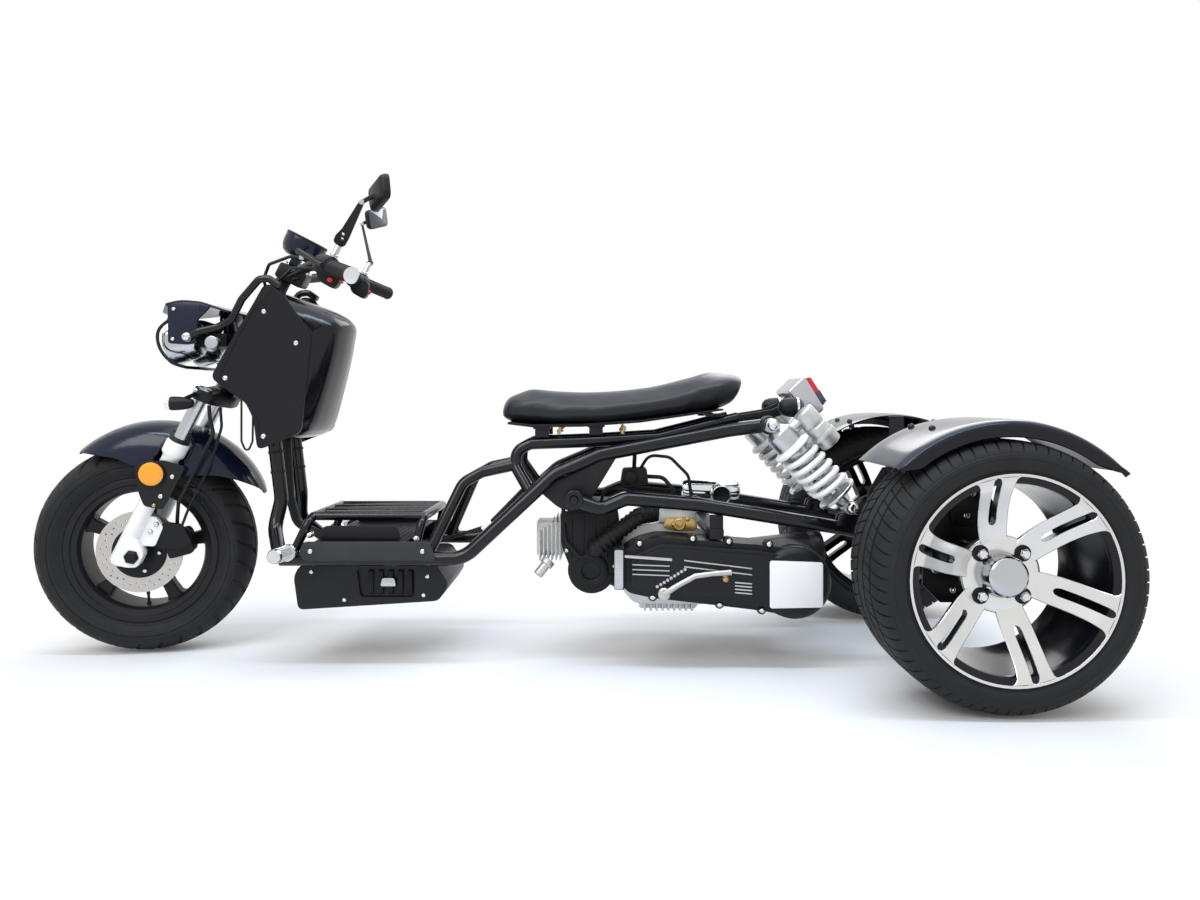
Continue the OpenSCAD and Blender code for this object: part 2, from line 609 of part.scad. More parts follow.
module rear_fender_left() color(GLOSS) rear_fender();
module rear_fender_right() color(GLOSS) mirror([0, 1, 0]) rear_fender();

// Tail lamp cluster
tail_at = [-590, 566];
tail_tilt = 43;
tail_half_w = 70;
tail_front = 14;
tail_edge = [[tail_front, -42], [-21, -42], [-38, 42], [tail_front, 42]];
tail_lens_edge = [[-22.5, -36], [-37.1, 36], [-50, 30], [-36, -34]];
tail_arm_edge = [[-420, 532], [-520, 548], [-566, 568], [-578, 550], [-520, 528], [-420, 514]];
tail_arm_y = [seat_half - 30, seat_half - 24];
tail_plate = [6, 2 * seat_half - 54, 40];
tail_pin_d = 12;
tail_pin_at = [-430, 523];
module at_tail() translate([tail_at.x, 0, tail_at.y]) rotate([0, tail_tilt, 0]) children();
module tail_bracket() color(SATIN) {
    both() side_plate(tail_arm_y[0], tail_arm_y[1]) polygon(tail_arm_edge);
    at_tail() translate([tail_front + fit_gap, -tail_plate.y / 2, -tail_plate.z / 2]) cube(tail_plate);
    both() translate([tail_pin_at.x, 0, tail_pin_at.y]) bar_y(tail_pin_d, seat_half - 27, seat_half - 12.3);
}
module tail_lamp() color(ALLOY) at_tail() side_plate(-tail_half_w, tail_half_w) polygon(tail_edge);
module tail_lens() color(RED) at_tail() side_plate(6 - tail_half_w, tail_half_w - 6) polygon(tail_lens_edge);
rear_signal_at = [-548, 97, 551];
rear_signal_d = [40, 46];
rear_signal_l = 56;
module rear_signals() color(SMOKE) both() {
    rod([rear_signal_at.x, tail_arm_y[1] + fit_gap, rear_signal_at.z], rear_signal_at, tail_pin_d);
    translate(rear_signal_at + [22, 0, 2]) rotate([0, -90, 0])
        cylinder(d1 = rear_signal_d[0], d2 = rear_signal_d[1], h = rear_signal_l);
}

// Steered assembly: u forward of the axis, y to the left, w up the axis from the axle
bar_w = 701;
bar_u = -24;
clamp_low = [-46, -34, bar_w - 20.7];
clamp_size = [64, 68, 36];
yoke_half = [[-30, 26], [fork_lead - 24, fork_half + 12], [fork_lead + 8, fork_half + 24],
    [fork_lead + 24, fork_half], [fork_lead + 10, 40]];
module fork_yoke() color(SATIN) steered() difference() {
    union() {
        translate([0, 0, yoke_w]) linear_extrude(yoke_t)
            polygon(concat(yoke_half, back([for (p = yoke_half) [p.x, -p.y]])));
        translate([0, 0, yoke_w + 1]) cylinder(d = stem_d, h = clamp_low.z - fit_gap - yoke_w - 1);
    }
    both() translate([fork_lead, fork_half, yoke_w - 1]) cylinder(d = fork_tube_d + 0.5, h = yoke_t + 2);
}
axle_d = 16;
slider_low = -34;
slider_top = 240;
collar_d = 50;
collar_h = 26;
lug_out = slider_d / 2 + fit_gap;
drop_edge = [[-20, -16], [-20, 16], [8, 40], [fork_lead, 40], [fork_lead, -30], [0, -26]];
caliper_arm = [[8, 60], [fork_lead - 6, 84], [-58, 104], [-96, 76], [-82, 50], [-20, 30], [8, 20]];
caliper_arm_y = [fork_half - 9, fork_half + 3];
module fork_leg() {
    difference() {
        union() {
            translate([fork_lead, fork_half, slider_low]) cylinder(d = slider_d, h = slider_top - slider_low);
            side_plate(fork_half - 9, fork_half + lug_out) polygon(drop_edge);
        }
        bar_y(axle_d + 0.4, 0, 2 * fork_half);
    }
    translate([fork_lead, fork_half, slider_top - 1]) cylinder(d = collar_d, h = collar_h + 1);
    translate([fork_lead, fork_half, slider_top + collar_h - 1])
        cylinder(d = fork_tube_d, h = yoke_w + yoke_t + 5 - slider_top - collar_h);
}
module fork_legs() color(WHITE) steered() {
    both() fork_leg();
    side_plate(caliper_arm_y[0], caliper_arm_y[1]) polygon(caliper_arm);
}
axle_nut_d = 27;
axle_nut_t = 8;
axle_half = fork_half + lug_out + 10;
module front_axle() color(SATIN) steered() {
    bar_y(axle_d, -axle_half, axle_half);
    both() translate([0, fork_half + lug_out + fit_gap, 0]) bar_y(axle_nut_d, 0, axle_nut_t, $fn = 6);
}
plate_in = fork_half + slider_d / 2 + fit_gap;
plate_t = 4;
plate_edge = [[80, 185], [34, 220], [-16, 228], [-15, 123], [24, 113], [46, 134]];
lens_at = [40, 184];
reflector_d = 58;
reflector_t = 8;
module reflector_plates() color(SATIN) steered() both()
    side_plate(plate_in, plate_in + plate_t) polygon(plate_edge);
module reflector_lenses() color(AMBER) steered() both()
    translate([lens_at.x, plate_in + plate_t + fit_gap, lens_at.y]) bar_y(reflector_d, 0, reflector_t);
fender_gap = 2.5;
fender_r = front_tyre_d / 2 + fender_gap;
fender_size = fender_r / 239;
fender_at = [-6, 58] * fender_size;
fender_half = front_fender_w / 2 * [0, 0.34, 0.59, 0.77, 0.9, 0.975, 1];
fender_drop = [0, 3, 11, 26, 48, 75, 96] * fender_size;
fender_arch = concat([for (i = [6 : -1 : 1]) [fender_r - fender_drop[i], -fender_half[i]]],
    [for (i = [0 : 6]) [fender_r - fender_drop[i], fender_half[i]]]);
fender_turn = [21.5, 142];
fender_edge = fender_size * [[236, 136], [222, 139], [176, 157], [128, 174], [82, 177], [0, 195], [-76, 231],
    [-123, 239], [-161, 236], [-182, 221], [-240, 221], [-240, 360], [236, 360]];
cup_d = 62;
fender_pin = [62, 191] * fender_size;
fender_pin_d = 12;
module cups(d) both() translate([fork_lead, fork_half, 0]) cylinder(d = d, h = yoke_w);
module front_fender() color(GLOSS) steered() {
    difference() {
        intersection() {
            translate([fender_at.x, 0, fender_at.y])
                about_y(fender_turn[0], fender_turn[1]) polygon(thick(fender_arch, fender_t));
            side_plate(-front_fender_w, front_fender_w) polygon(fender_edge);
        }
        cups(cup_d);
    }
    both() translate([fender_pin.x, 0, fender_pin.y])
        bar_y(fender_pin_d, front_fender_w / 2 - 2.4, plate_in - fit_gap);
}
grip_in = [-84, 196, 752];
grip_out = [-178, bar_half, 760];
bar_mid = 74;
grip_d = 34;
pod_d = 44;
pod_at = [0.14, 0.42];
lever_d = 9;
bar_left = [[bar_u, bar_mid, bar_w], grip_in, grip_out];
module handlebar() color(SATIN) steered() {
    tube(concat(back(flip(bar_left)), bar_left), bar_d, 40);
    translate(clamp_low) cube(clamp_size);
}
function on_grip(t) = grip_in + (grip_out - grip_in) * t;
module sleeve(t0, t1, d) both() difference() {
    rod(on_grip(t0), on_grip(t1), d);
    rod(on_grip(t0 - 0.1), on_grip(t1 < 1 ? t1 + 0.1 : 1.003), bar_d + 2 * fit_gap);
}
module grips() color(RUBBER) steered() sleeve(pod_at[1] + 0.01, 1.02, grip_d);
module switch_pods() color(SATIN) steered() {
    sleeve(pod_at[0], pod_at[1], pod_d);
    lever = [on_grip(0.2) + [18, 5, 0], on_grip(0.3) + [62, 6, 0], on_grip(0.9) + [52, 0, -8]];
    both() tube(lever, lever_d, 20);
}
stalk_d = 9;
mirror_size = [18, 96, 52];
mirror_yaw = 24;
mirror_roll = 14;
mirror_foot = on_grip(0.34) + [0, 0, pod_d / 2 + 0.9];
mirror_left = [-149, 317, 927];
mirror_right = [-68, -313, 922];
module mirror_one(foot, head, side) {
    tube([foot, foot + [0, 8 * side, 34], head + [22, -12 * side, -30], head], stalk_d, 14);
    translate(head) rotate([0, rake, 0]) rotate([mirror_roll * side, 0, mirror_yaw * side])
        translate(-mirror_size / 2) cube(mirror_size);
}
module mirrors() color(SATIN) steered() {
    mirror_one(mirror_foot, mirror_left, 1);
    mirror_one([mirror_foot.x, -mirror_foot.y, mirror_foot.z], mirror_right, -1);
}
dial_d = 96;
dial_h = 50;
dial_u = -6;
dial_w = bar_w + 37;
dial_foot = [20, 24, 22];
module instrument() color(SATIN) steered() {
    translate([dial_u, 0, dial_w]) cylinder(d = dial_d, h = dial_h);
    translate([dial_u - 8, -dial_foot.y / 2, clamp_low.z + clamp_size.z + fit_gap]) cube(dial_foot);
}
signal_at = [fork_lead - 6, 148, yoke_w];
signal_d = [22, 30];
signal_l = 58;
signal_arm_d = 9;
module front_signals() color(SATIN) steered() both() {
    rod([fork_lead + 8.5, fork_half + 24.8, yoke_w + 12], signal_at + [18, 2, 3], signal_arm_d);
    translate(signal_at) rotate([0, 90 + rake, 0]) cylinder(d1 = signal_d[0], d2 = signal_d[1], h = signal_l);
}
caliper_a = 139;
caliper_r = 62;
caliper_l = [56, 64];
caliper_back = 13;
disc_y = 52;
disc_t = 5;
disc_gap = 5;
module brake_caliper() color(SATIN) steered() difference() {
    rotate([0, -caliper_a, 0]) translate([caliper_r, disc_y - caliper_back, -caliper_l[1] / 2])
        cube([caliper_l[0], caliper_arm_y[0] - fit_gap - disc_y + caliper_back, caliper_l[1]]);
    bar_y(disc_d + 8, disc_y - disc_gap, disc_y + disc_t + disc_gap);
}
hose_d = 8;
hose_y = plate_in + 2;
hose_u = -36;
hose_path = [[-49.8, 68, 87.6], [-42, 70, 106], [hose_u, hose_y, 150], [hose_u, hose_y, yoke_w - 50],
    [-12, 100, yoke_w - 22], [2, 91, yoke_w - 2]];
module brake_hose() color(RUBBER) steered() tube(hose_path, hose_d, 18);

// Front wheel
front_seat_r = front_tyre_d / 2 - front_sidewall;
front_bead = front_tyre_w / 2 - 16;
front_lip = front_seat_r + 12;
front_well = front_seat_r - 22;
wall_r = front_seat_r + front_sidewall / 2;
tread_half = front_tyre_w / 2 - 6;
function crown(y) = front_tyre_d / 2 - crown_r + sqrt(crown_r * crown_r - y * y);
module front_tyre() color(RUBBER) steered() about_y(0, 360) polygon(concat(
    [[front_seat_r, -front_bead], [front_lip + 4, -front_bead], [wall_r, -front_tyre_w / 2]],
    [for (i = [-6 : 6]) [crown(i * tread_half / 6), i * tread_half / 6]],
    [[wall_r, front_tyre_w / 2], [front_lip + 4, front_bead], [front_seat_r, front_bead]]));
hub_half = 44;
hub_d = 76;
front_spokes = 5;
front_spoke_a = 26;
front_spoke_y = [-2, 20];
front_spoke = [[30, -20], [90, -13], [front_well + 3, -22], [front_well + 3, 22], [90, 13], [30, 20]];
function rim_line(well, seat, lip, bead) = [[well, -bead - 5], [lip, -bead - 5], [lip, -bead - fit_gap],
    [seat - fit_gap, -bead - fit_gap], [seat - fit_gap, bead + fit_gap],
    [lip, bead + fit_gap], [lip, bead + 5],
    [well, bead + 5]];
module front_rim() color(SATIN) steered() difference() {
    union() {
        about_y(0, 360) polygon(rim_line(front_well, front_seat_r, front_lip, front_bead));
        bar_y(hub_d, -hub_half, hub_half);
        for (i = [0 : front_spokes - 1]) rotate([0, rake - front_spoke_a - i * 360 / front_spokes, 0])
            side_plate(front_spoke_y[0], front_spoke_y[1]) polygon(front_spoke);
    }
    bar_y(axle_d + 2 * run_gap, -fork_half, fork_half);
}
carrier_d = 70;
disc_holes = 10;
hole_d = 8;
hole_r = disc_d / 2 - 12;
disc_windows = 5;
disc_window_d = 22;
disc_window_r = 46;
module front_disc() color(ALLOY) steered() difference() {
    union() {
        bar_y(disc_d, disc_y, disc_y + disc_t);
        bar_y(carrier_d, hub_half, disc_y + 1);
    }
    bar_y(axle_d + 1, 0, fork_half);
    for (i = [0 : disc_holes - 1]) rotate([0, 360 * i / disc_holes, 0]) translate([hole_r, 0, 0])
        bar_y(hole_d, hub_half, fork_half);
    for (i = [0 : disc_windows - 1]) rotate([0, 360 * i / disc_windows, 0]) translate([disc_window_r, 0, 0])
        bar_y(disc_window_d, hub_half, fork_half);
}

// Rear wheels
rear_seat_r = rear_tyre_d / 2 - rear_sidewall;
rear_bead = rear_tyre_w / 2 - 8;
rear_lip = rear_seat_r + 13;
rear_well = rear_seat_r - 10;
rear_wall = [[rear_seat_r, rear_bead], [rear_lip + 4, rear_bead], [rear_lip + 18, rear_tyre_w / 2],
    [rear_z - 18, rear_tyre_w / 2], [rear_z - 5, rear_tyre_w / 2 - 7], [rear_z, rear_tyre_w / 2 - 20]];
module rear_tyre() translate([rear_x, rear_y, rear_z]) about_y(0, 360)
    polygon(concat([for (p = rear_wall) [p.x, -p.y]], back(rear_wall)));
module rear_tyre_left() color(RUBBER) rear_tyre();
module rear_tyre_right() color(RUBBER) mirror([0, 1, 0]) rear_tyre();
rear_spokes = 6;
rear_spoke_a = 17;
hub_face = 36;
hub_t = 22;
wheel_hub_d = 144;
spoke_half = 21;
spoke_line = [[60, hub_face - hub_t + 1], [60, hub_face - 1], [120, hub_face + 18],
    [rear_well, hub_face + 46],
    [rear_well + 4, hub_face + 46], [rear_well + 4, hub_face + 24], [120, hub_face - 4]];
slot_r = [95, 160];
slot_half = 5;
cap_d = [84, 77];
cap_h = 38;
nut_d = 20;
nut_h = 16;
nuts = 4;
drum_d = 128;
drum_in = -60;
shaft_from = housing_half - rear_y - 70;
module rear_rim() translate([rear_x, rear_y, rear_z]) {
    difference() {
        union() {
            about_y(0, 360) polygon(rim_line(rear_well, rear_seat_r, rear_lip, rear_bead));
            for (i = [0 : rear_spokes - 1]) rotate([0, -rear_spoke_a - i * 360 / rear_spokes, 0])
                translate([0, 0, -spoke_half]) linear_extrude(2 * spoke_half) polygon(spoke_line);
            bar_y(wheel_hub_d, hub_face - hub_t, hub_face);
        }
        for (i = [0 : rear_spokes - 1]) rotate([0, -rear_spoke_a - i * 360 / rear_spokes, 0])
            translate([slot_r[0], 0, -slot_half]) cube([slot_r[1] - slot_r[0], rear_bead, 2 * slot_half]);
    }
    translate([0, hub_face - 1, 0]) rotate([-90, 0, 0]) cylinder(d1 = cap_d[0], d2 = cap_d[1], h = cap_h + 1);
    for (i = [0 : nuts - 1]) rotate([0, 45 + 360 * i / nuts, 0]) translate([lug_pcd / 2, 0, 0])
        bar_y(nut_d, hub_face - 1, hub_face + nut_h);
    bar_y(drum_d, drum_in, hub_face - hub_t + 1);
    bar_y(shaft_d, shaft_from, drum_in + 1);
}
module rear_rim_left() color(ALLOY) rear_rim();
module rear_rim_right() color(ALLOY) mirror([0, 1, 0]) rear_rim();

downtube_left();
downtube_right();
head_tube();
rail_left();
rail_right();
seat_rail_left();
seat_rail_right();
deck_rack();
deck_panels();
battery_box();
foot_pegs();
seat_pan();
seat_pad();
fairing_left();
fairing_right();
fairing_rear();
headlamps();
headlamp_lenses();
headlamp_hood();
headlamp_guard();
crankcase();
cylinder_shroud();
cvt_cover();
kick_lever();
carburettor();
intake();
exhaust();
swingarm_left();
swingarm_right();
axle_housing();
shocks();
shock_springs();
rear_fender_left();
rear_fender_right();
tail_bracket();
tail_lamp();
tail_lens();
rear_signals();
fork_yoke();
fork_legs();
front_axle();
front_fender();
reflector_plates();
reflector_lenses();
handlebar();
grips();
switch_pods();
mirrors();
instrument();
front_signals();
brake_caliper();
brake_hose();
front_tyre();
front_rim();
front_disc();
rear_tyre_left();
rear_rim_left();
rear_tyre_right();
rear_rim_right();
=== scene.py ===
"""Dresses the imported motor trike: smooth forms, finishes, fasteners, light and camera."""
import json
import logging
import math
from dataclasses import dataclass, field
from enum import Enum
from typing import Callable, Iterable, Sequence

import bmesh
import bpy
from mathutils import Matrix, Vector

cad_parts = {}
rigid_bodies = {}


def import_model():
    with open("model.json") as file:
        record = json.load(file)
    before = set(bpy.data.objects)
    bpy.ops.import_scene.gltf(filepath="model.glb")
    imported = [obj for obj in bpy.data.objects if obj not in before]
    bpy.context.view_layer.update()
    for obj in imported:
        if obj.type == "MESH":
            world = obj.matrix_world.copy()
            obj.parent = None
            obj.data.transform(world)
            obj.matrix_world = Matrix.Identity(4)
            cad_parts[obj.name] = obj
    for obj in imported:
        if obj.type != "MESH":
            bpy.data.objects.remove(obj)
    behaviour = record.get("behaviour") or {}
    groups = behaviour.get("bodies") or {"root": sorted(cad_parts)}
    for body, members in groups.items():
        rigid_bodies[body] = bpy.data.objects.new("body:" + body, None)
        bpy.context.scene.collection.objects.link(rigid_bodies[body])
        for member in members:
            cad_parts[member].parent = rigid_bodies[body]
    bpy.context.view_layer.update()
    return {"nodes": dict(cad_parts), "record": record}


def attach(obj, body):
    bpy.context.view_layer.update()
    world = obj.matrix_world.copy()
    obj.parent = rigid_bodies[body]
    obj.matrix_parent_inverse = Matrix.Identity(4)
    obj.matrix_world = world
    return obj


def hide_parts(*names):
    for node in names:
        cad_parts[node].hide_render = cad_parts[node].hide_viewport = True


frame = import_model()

LOG = logging.getLogger("trike")
MM = 0.001
# Points nearer than this, in metres, are merged: in a piece, between a ring's steps and in a screw head
WELD, RING_WELD, HEAD_WELD = 1e-6, 2e-5, 1e-8

Point = tuple[float, float, float]
Flat = tuple[float, float]
Colour = tuple[float, float, float]


class Body(str, Enum):
    """The moving groups of the trike."""

    CHASSIS = "chassis"
    STEERING = "steering"
    FRONT = "front_wheel"
    LEFT = "rear_wheel_left"
    RIGHT = "rear_wheel_right"


class Slot(str, Enum):
    """The finishes that the record names."""

    GLOSS = "gloss_black"
    SATIN = "satin_black"
    LEATHER = "leather"
    TYRE = "tyre"
    RUBBER = "rubber"
    ALLOY = "alloy"
    CHROME = "chrome"
    WHITE = "white"
    RED = "red_lens"
    AMBER = "amber_lens"
    SMOKE = "smoke_lens"
    CLEAR = "clear_lens"


class Grain(Enum):
    """The surface pattern of a finish."""

    PAINT = "paint"
    MOULDED = "moulded"
    CAST = "cast"
    BRUSHED = "brushed"
    TURNED = "turned"
    HIDE = "hide"
    RUBBER = "rubber"
    PLAIN = "plain"


# Main points in millimetres, and the frames that pieces are drawn in: the ground, the steered fork and the neck
RAKE = 27.0
STEER_REST = 9.0
FRONT_AXLE = Vector((889.744, 0.0, 236.092))
REAR_AXLE = Vector((-875.256, 355.0, 249.0))
NECK = Vector((709.06, 0.0, 590.71))
WORLD = Matrix.Scale(MM, 4)
STEER = (
    WORLD
    @ Matrix.Translation(FRONT_AXLE)
    @ Matrix.Rotation(math.radians(-RAKE), 4, "Y")
    @ Matrix.Rotation(math.radians(STEER_REST), 4, "Z")
)
AT_NECK = WORLD @ Matrix.Translation(NECK)


class Shader:
    """A material's node tree, with short ways to add and join nodes."""

    def __init__(self, name: str) -> None:
        """Start an empty material.

        Args:
            name: The material's name.
        """
        self.material = bpy.data.materials.new(name)
        self.material.use_nodes = True
        self.tree = self.material.node_tree
        self.surface = self.tree.nodes["Principled BSDF"]

    def add(self, kind: str, **values: object) -> bpy.types.Node:
        """Add a node and set its inputs.

        Args:
            kind: The node's type name.
            values: Input values by socket name, with _ for a space.

        Returns:
            The new node.
        """
        node = self.tree.nodes.new(kind)
        for key, value in values.items():
            node.inputs[key.replace("_", " ")].default_value = value
        return node

    def link(self, source: bpy.types.NodeSocket, target: bpy.types.NodeSocket) -> None:
        """Join an output to an input."""
        self.tree.links.new(source, target)

    def ramp(self, source: bpy.types.NodeSocket, low: float, high: float) -> bpy.types.NodeSocket:
        """Map a 0 to 1 pattern to a range.

        Args:
            source: The pattern.
            low: The value at 0.
            high: The value at 1.

        Returns:
            The mapped output.
        """
        node = self.add("ShaderNodeMapRange", To_Min=low, To_Max=high)
        self.link(source, node.inputs["Value"])
        return node.outputs["Result"]

    def place(self, scale: Point = (1, 1, 1), shift: Point = (0, 0, 0)) -> bpy.types.NodeSocket:
        """Give object coordinates, moved and stretched.

        Args:
            scale: Stretch along each axis.
            shift: Move in metres, before the stretch.

        Returns:
            The coordinate output.
        """
        source = self.add("ShaderNodeTexCoord")
        moved = self.add("ShaderNodeVectorMath")
        moved.operation = "SUBTRACT"
        moved.inputs[1].default_value = shift
        self.link(source.outputs["Object"], moved.inputs[0])
        mapped = self.add("ShaderNodeMapping", Scale=scale)
        self.link(moved.outputs["Vector"], mapped.inputs["Vector"])
        return mapped.outputs["Vector"]

    def noise(self, where: bpy.types.NodeSocket, scale: float, detail: float = 3.0) -> bpy.types.NodeSocket:
        """Add a cloudy pattern.

        Args:
            where: The coordinates.
            scale: Cells per metre.
            detail: How many finer layers.

        Returns:
            The pattern, 0 to 1.
        """
        node = self.add("ShaderNodeTexNoise", Scale=scale, Detail=detail)
        self.link(where, node.inputs["Vector"])
        return node.outputs["Fac"]

    def cells(self, where: bpy.types.NodeSocket, scale: float) -> bpy.types.NodeSocket:
        """Add a pebbled pattern.

        Args:
            where: The coordinates.
            scale: Cells per metre.

        Returns:
            The distance from each cell's middle.
        """
        node = self.add("ShaderNodeTexVoronoi", Scale=scale)
        self.link(where, node.inputs["Vector"])
        return node.outputs["Distance"]

    def bump(self, height: bpy.types.NodeSocket, strength: float, distance: float) -> None:
        """Raise the surface by a pattern.

        Args:
            height: The pattern.
            strength: How much of it shows.
            distance: Its height in metres.
        """
        node = self.add("ShaderNodeBump", Strength=strength, Distance=distance)
        self.link(height, node.inputs["Height"])
        self.link(node.outputs["Normal"], self.surface.inputs["Normal"])

    def tint(self, pattern: bpy.types.NodeSocket, low: Colour, high: Colour) -> None:
        """Vary the base colour between two colours by a pattern.

        Args:
            pattern: The pattern, 0 to 1.
            low: The colour at 0.
            high: The colour at 1.
        """
        mix = self.tree.nodes.new("ShaderNodeMix")
        mix.data_type = "RGBA"
        self.link(pattern, mix.inputs[0])
        mix.inputs[6].default_value = (*low, 1.0)
        mix.inputs[7].default_value = (*high, 1.0)
        self.link(mix.outputs[2], self.surface.inputs["Base Color"])


@dataclass(frozen=True)
class Skin:
    """One grain's numbers: the cloud in its colour and gloss, and its relief.

    Scales are in cells per metre and the height is in metres. A relief without detail is pebbled.
    """

    cloud: float
    detail: float
    relief: float
    relief_detail: float | None
    strength: float
    height: float
    stretch: Point = (1, 1, 1)


SKINS = {
    # Sprayed paint: a soft cloud in the gloss and a faint orange peel
    Grain.PAINT: Skin(9.0, 5.0, 420.0, 1.0, 0.05, 0.0004),
    # Moulded or powder-coated black: a fine pebble and scuffed patches
    Grain.MOULDED: Skin(22.0, 6.0, 1500.0, None, 0.14, 0.0003),
    # Sand-cast metal: coarse grain over broad stains
    Grain.CAST: Skin(30.0, 8.0, 900.0, 4.0, 0.25, 0.0006),
    # Drawn metal: streaks along X
    Grain.BRUSHED: Skin(60.0, 6.0, 120.0, 3.0, 0.06, 0.0002, (1.0, 22.0, 22.0)),
    # Smooth hide: small creased cells and soft worn patches
    Grain.HIDE: Skin(16.0, 6.0, 620.0, None, 0.22, 0.0006),
    # Rubber: dusty patches over a fine matt skin
    Grain.RUBBER: Skin(24.0, 7.0, 1300.0, 2.0, 0.1, 0.0004),
}


@dataclass(frozen=True)
class Finish:
    """One surface finish, made as a node material on first use."""

    name: str
    slot: Slot
    colour: Colour
    roughness: float
    grain: Grain = Grain.PAINT
    metallic: float = 0.0
    specular: float = 0.5
    coat: float = 0.0
    transmission: float = 0.0
    spread: float = 0.06
    change: float = 0.25
    centre: Point = (0.0, 0.0, 0.0)

    def material(self) -> bpy.types.Material:
        """Give the finish's material, made once."""
        known = bpy.data.materials.get(self.name)
        return known if known else self._make()

    def _make(self) -> bpy.types.Material:
        """Build the node tree.

        Returns:
            The new material.
        """
        shader = Shader(self.name)
        surface = shader.surface
        surface.inputs["Base Color"].default_value = (*self.colour, 1.0)
        surface.inputs["Metallic"].default_value = self.metallic
        surface.inputs["Specular IOR Level"].default_value = self.specular
        surface.inputs["Coat Weight"].default_value = self.coat
        surface.inputs["Coat Roughness"].default_value = 0.04
        surface.inputs["Transmission Weight"].default_value = self.transmission
        shader.material.diffuse_color = (*self.colour, 1.0)
        if self.grain is Grain.TURNED:
            self._turned(shader)
        elif self.grain is Grain.PLAIN:
            self._gloss(shader, shader.noise(shader.place(), 40.0, 3.0), 0.01)
        else:
            self._grained(shader, SKINS[self.grain])
        return shader.material

    def _vary(self, shader: Shader, pattern: bpy.types.NodeSocket) -> None:
        """Vary colour and gloss by one pattern."""
        low = tuple(c * (1 - self.change) for c in self.colour)
        high = tuple(min(1.0, c * (1 + self.change)) for c in self.colour)
        shader.tint(pattern, low, high)
        self._gloss(shader, pattern, 0.02)

    def _gloss(self, shader: Shader, pattern: bpy.types.NodeSocket, least: float) -> None:
        """Vary the roughness by a pattern, never below the least."""
        gloss = shader.ramp(pattern, max(least, self.roughness - self.spread), self.roughness + self.spread)
        shader.link(gloss, shader.surface.inputs["Roughness"])

    def _grained(self, shader: Shader, skin: Skin) -> None:
        """Add a grain's cloud and its relief."""
        where = shader.place(scale=skin.stretch)
        self._vary(shader, shader.noise(where, skin.cloud, skin.detail))
        if skin.relief_detail is None:
            relief = shader.cells(where, skin.relief)
        else:
            relief = shader.noise(where, skin.relief, skin.relief_detail)
        shader.bump(relief, skin.strength, skin.height)

    def _turned(self, shader: Shader) -> None:
        """Lathe-cut metal: fine rings about the wheel's axle."""
        where = shader.place(shift=self.centre)
        ring = shader.add("ShaderNodeTexWave", Scale=70.0, Distortion=0.4, Detail=2.0)
        ring.wave_type = "RINGS"
        ring.rings_direction = "Y"
        shader.link(where, ring.inputs["Vector"])
        self._vary(shader, shader.noise(where, 14.0, 4.0))
        shader.bump(ring.outputs["Fac"], 0.05, 0.0002)


GLOSS = Finish("gloss_paint", Slot.GLOSS, (0.004, 0.004, 0.007), 0.15, Grain.PAINT, specular=0.3, spread=0.05)
# Black paint with a painted sky reflection: its navy tint stands for the blue sheen that upward faces show, put into
# the base colour
SKY_SHEEN_BLACK = Finish("black_paint_painted_sky_sheen", Slot.GLOSS, (0.006, 0.009, 0.024), 0.16, Grain.PAINT, specular=0.3, spread=0.05)
TUBE_PAINT = Finish("tube_paint", Slot.GLOSS, (0.004, 0.004, 0.006), 0.18, Grain.PAINT, specular=0.35)
SATIN = Finish("satin_coat", Slot.SATIN, (0.009, 0.009, 0.011), 0.4, Grain.MOULDED, specular=0.25)
DARK = Finish("moulded_black", Slot.SATIN, (0.007, 0.007, 0.008), 0.46, Grain.MOULDED, specular=0.22)
PLATE = Finish("dark_plate", Slot.SATIN, (0.028, 0.028, 0.032), 0.55, Grain.MOULDED, specular=0.3)
HIDE = Finish("seat_hide", Slot.LEATHER, (0.011, 0.012, 0.015), 0.36, Grain.HIDE, specular=0.32)
TYRE = Finish("tyre_rubber", Slot.TYRE, (0.017, 0.017, 0.018), 0.62, Grain.RUBBER, specular=0.2, change=0.35)
RUBBER = Finish("soft_rubber", Slot.RUBBER, (0.009, 0.009, 0.010), 0.52, Grain.RUBBER, specular=0.25)
CASTING = Finish("cast_alloy", Slot.ALLOY, (0.55, 0.55, 0.54), 0.42, Grain.CAST, metallic=0.85, change=0.3)
SILVER = Finish("drawn_alloy", Slot.ALLOY, (0.50, 0.51, 0.53), 0.28, Grain.BRUSHED, metallic=1.0, change=0.12)
# Bright steel for the brake disc; on the black kick lever this mid-grey metal is a painted highlight along its top
STEEL_AND_LEVER_HIGHLIGHT = Finish("disc_steel_and_painted_lever_highlight", Slot.ALLOY, (0.52, 0.50, 0.47), 0.36, Grain.BRUSHED, metallic=0.9, change=0.15)
CHROME = Finish("polished_chrome", Slot.CHROME, (0.70, 0.71, 0.73), 0.09, Grain.PLAIN, metallic=1.0, spread=0.03)
WHITE = Finish("white_paint", Slot.WHITE, (0.90, 0.90, 0.90), 0.3, Grain.PAINT, coat=0.3, change=0.03)
BRASS = Finish("plated_brass", Slot.ALLOY, (0.62, 0.42, 0.16), 0.34, Grain.CAST, metallic=0.9, change=0.25)
AMBER = Finish("amber_lens", Slot.AMBER, (0.95, 0.36, 0.01), 0.18, Grain.PLAIN, coat=0.6)
RED = Finish("red_lens", Slot.RED, (0.55, 0.01, 0.012), 0.14, Grain.PLAIN, coat=0.6)
SMOKE = Finish("smoke_lens", Slot.SMOKE, (0.02, 0.02, 0.05), 0.08, Grain.PLAIN, coat=0.6)
CLEAR = Finish("clear_lens", Slot.CLEAR, (0.86, 0.88, 0.9), 0.05, Grain.PLAIN, transmission=0.75)
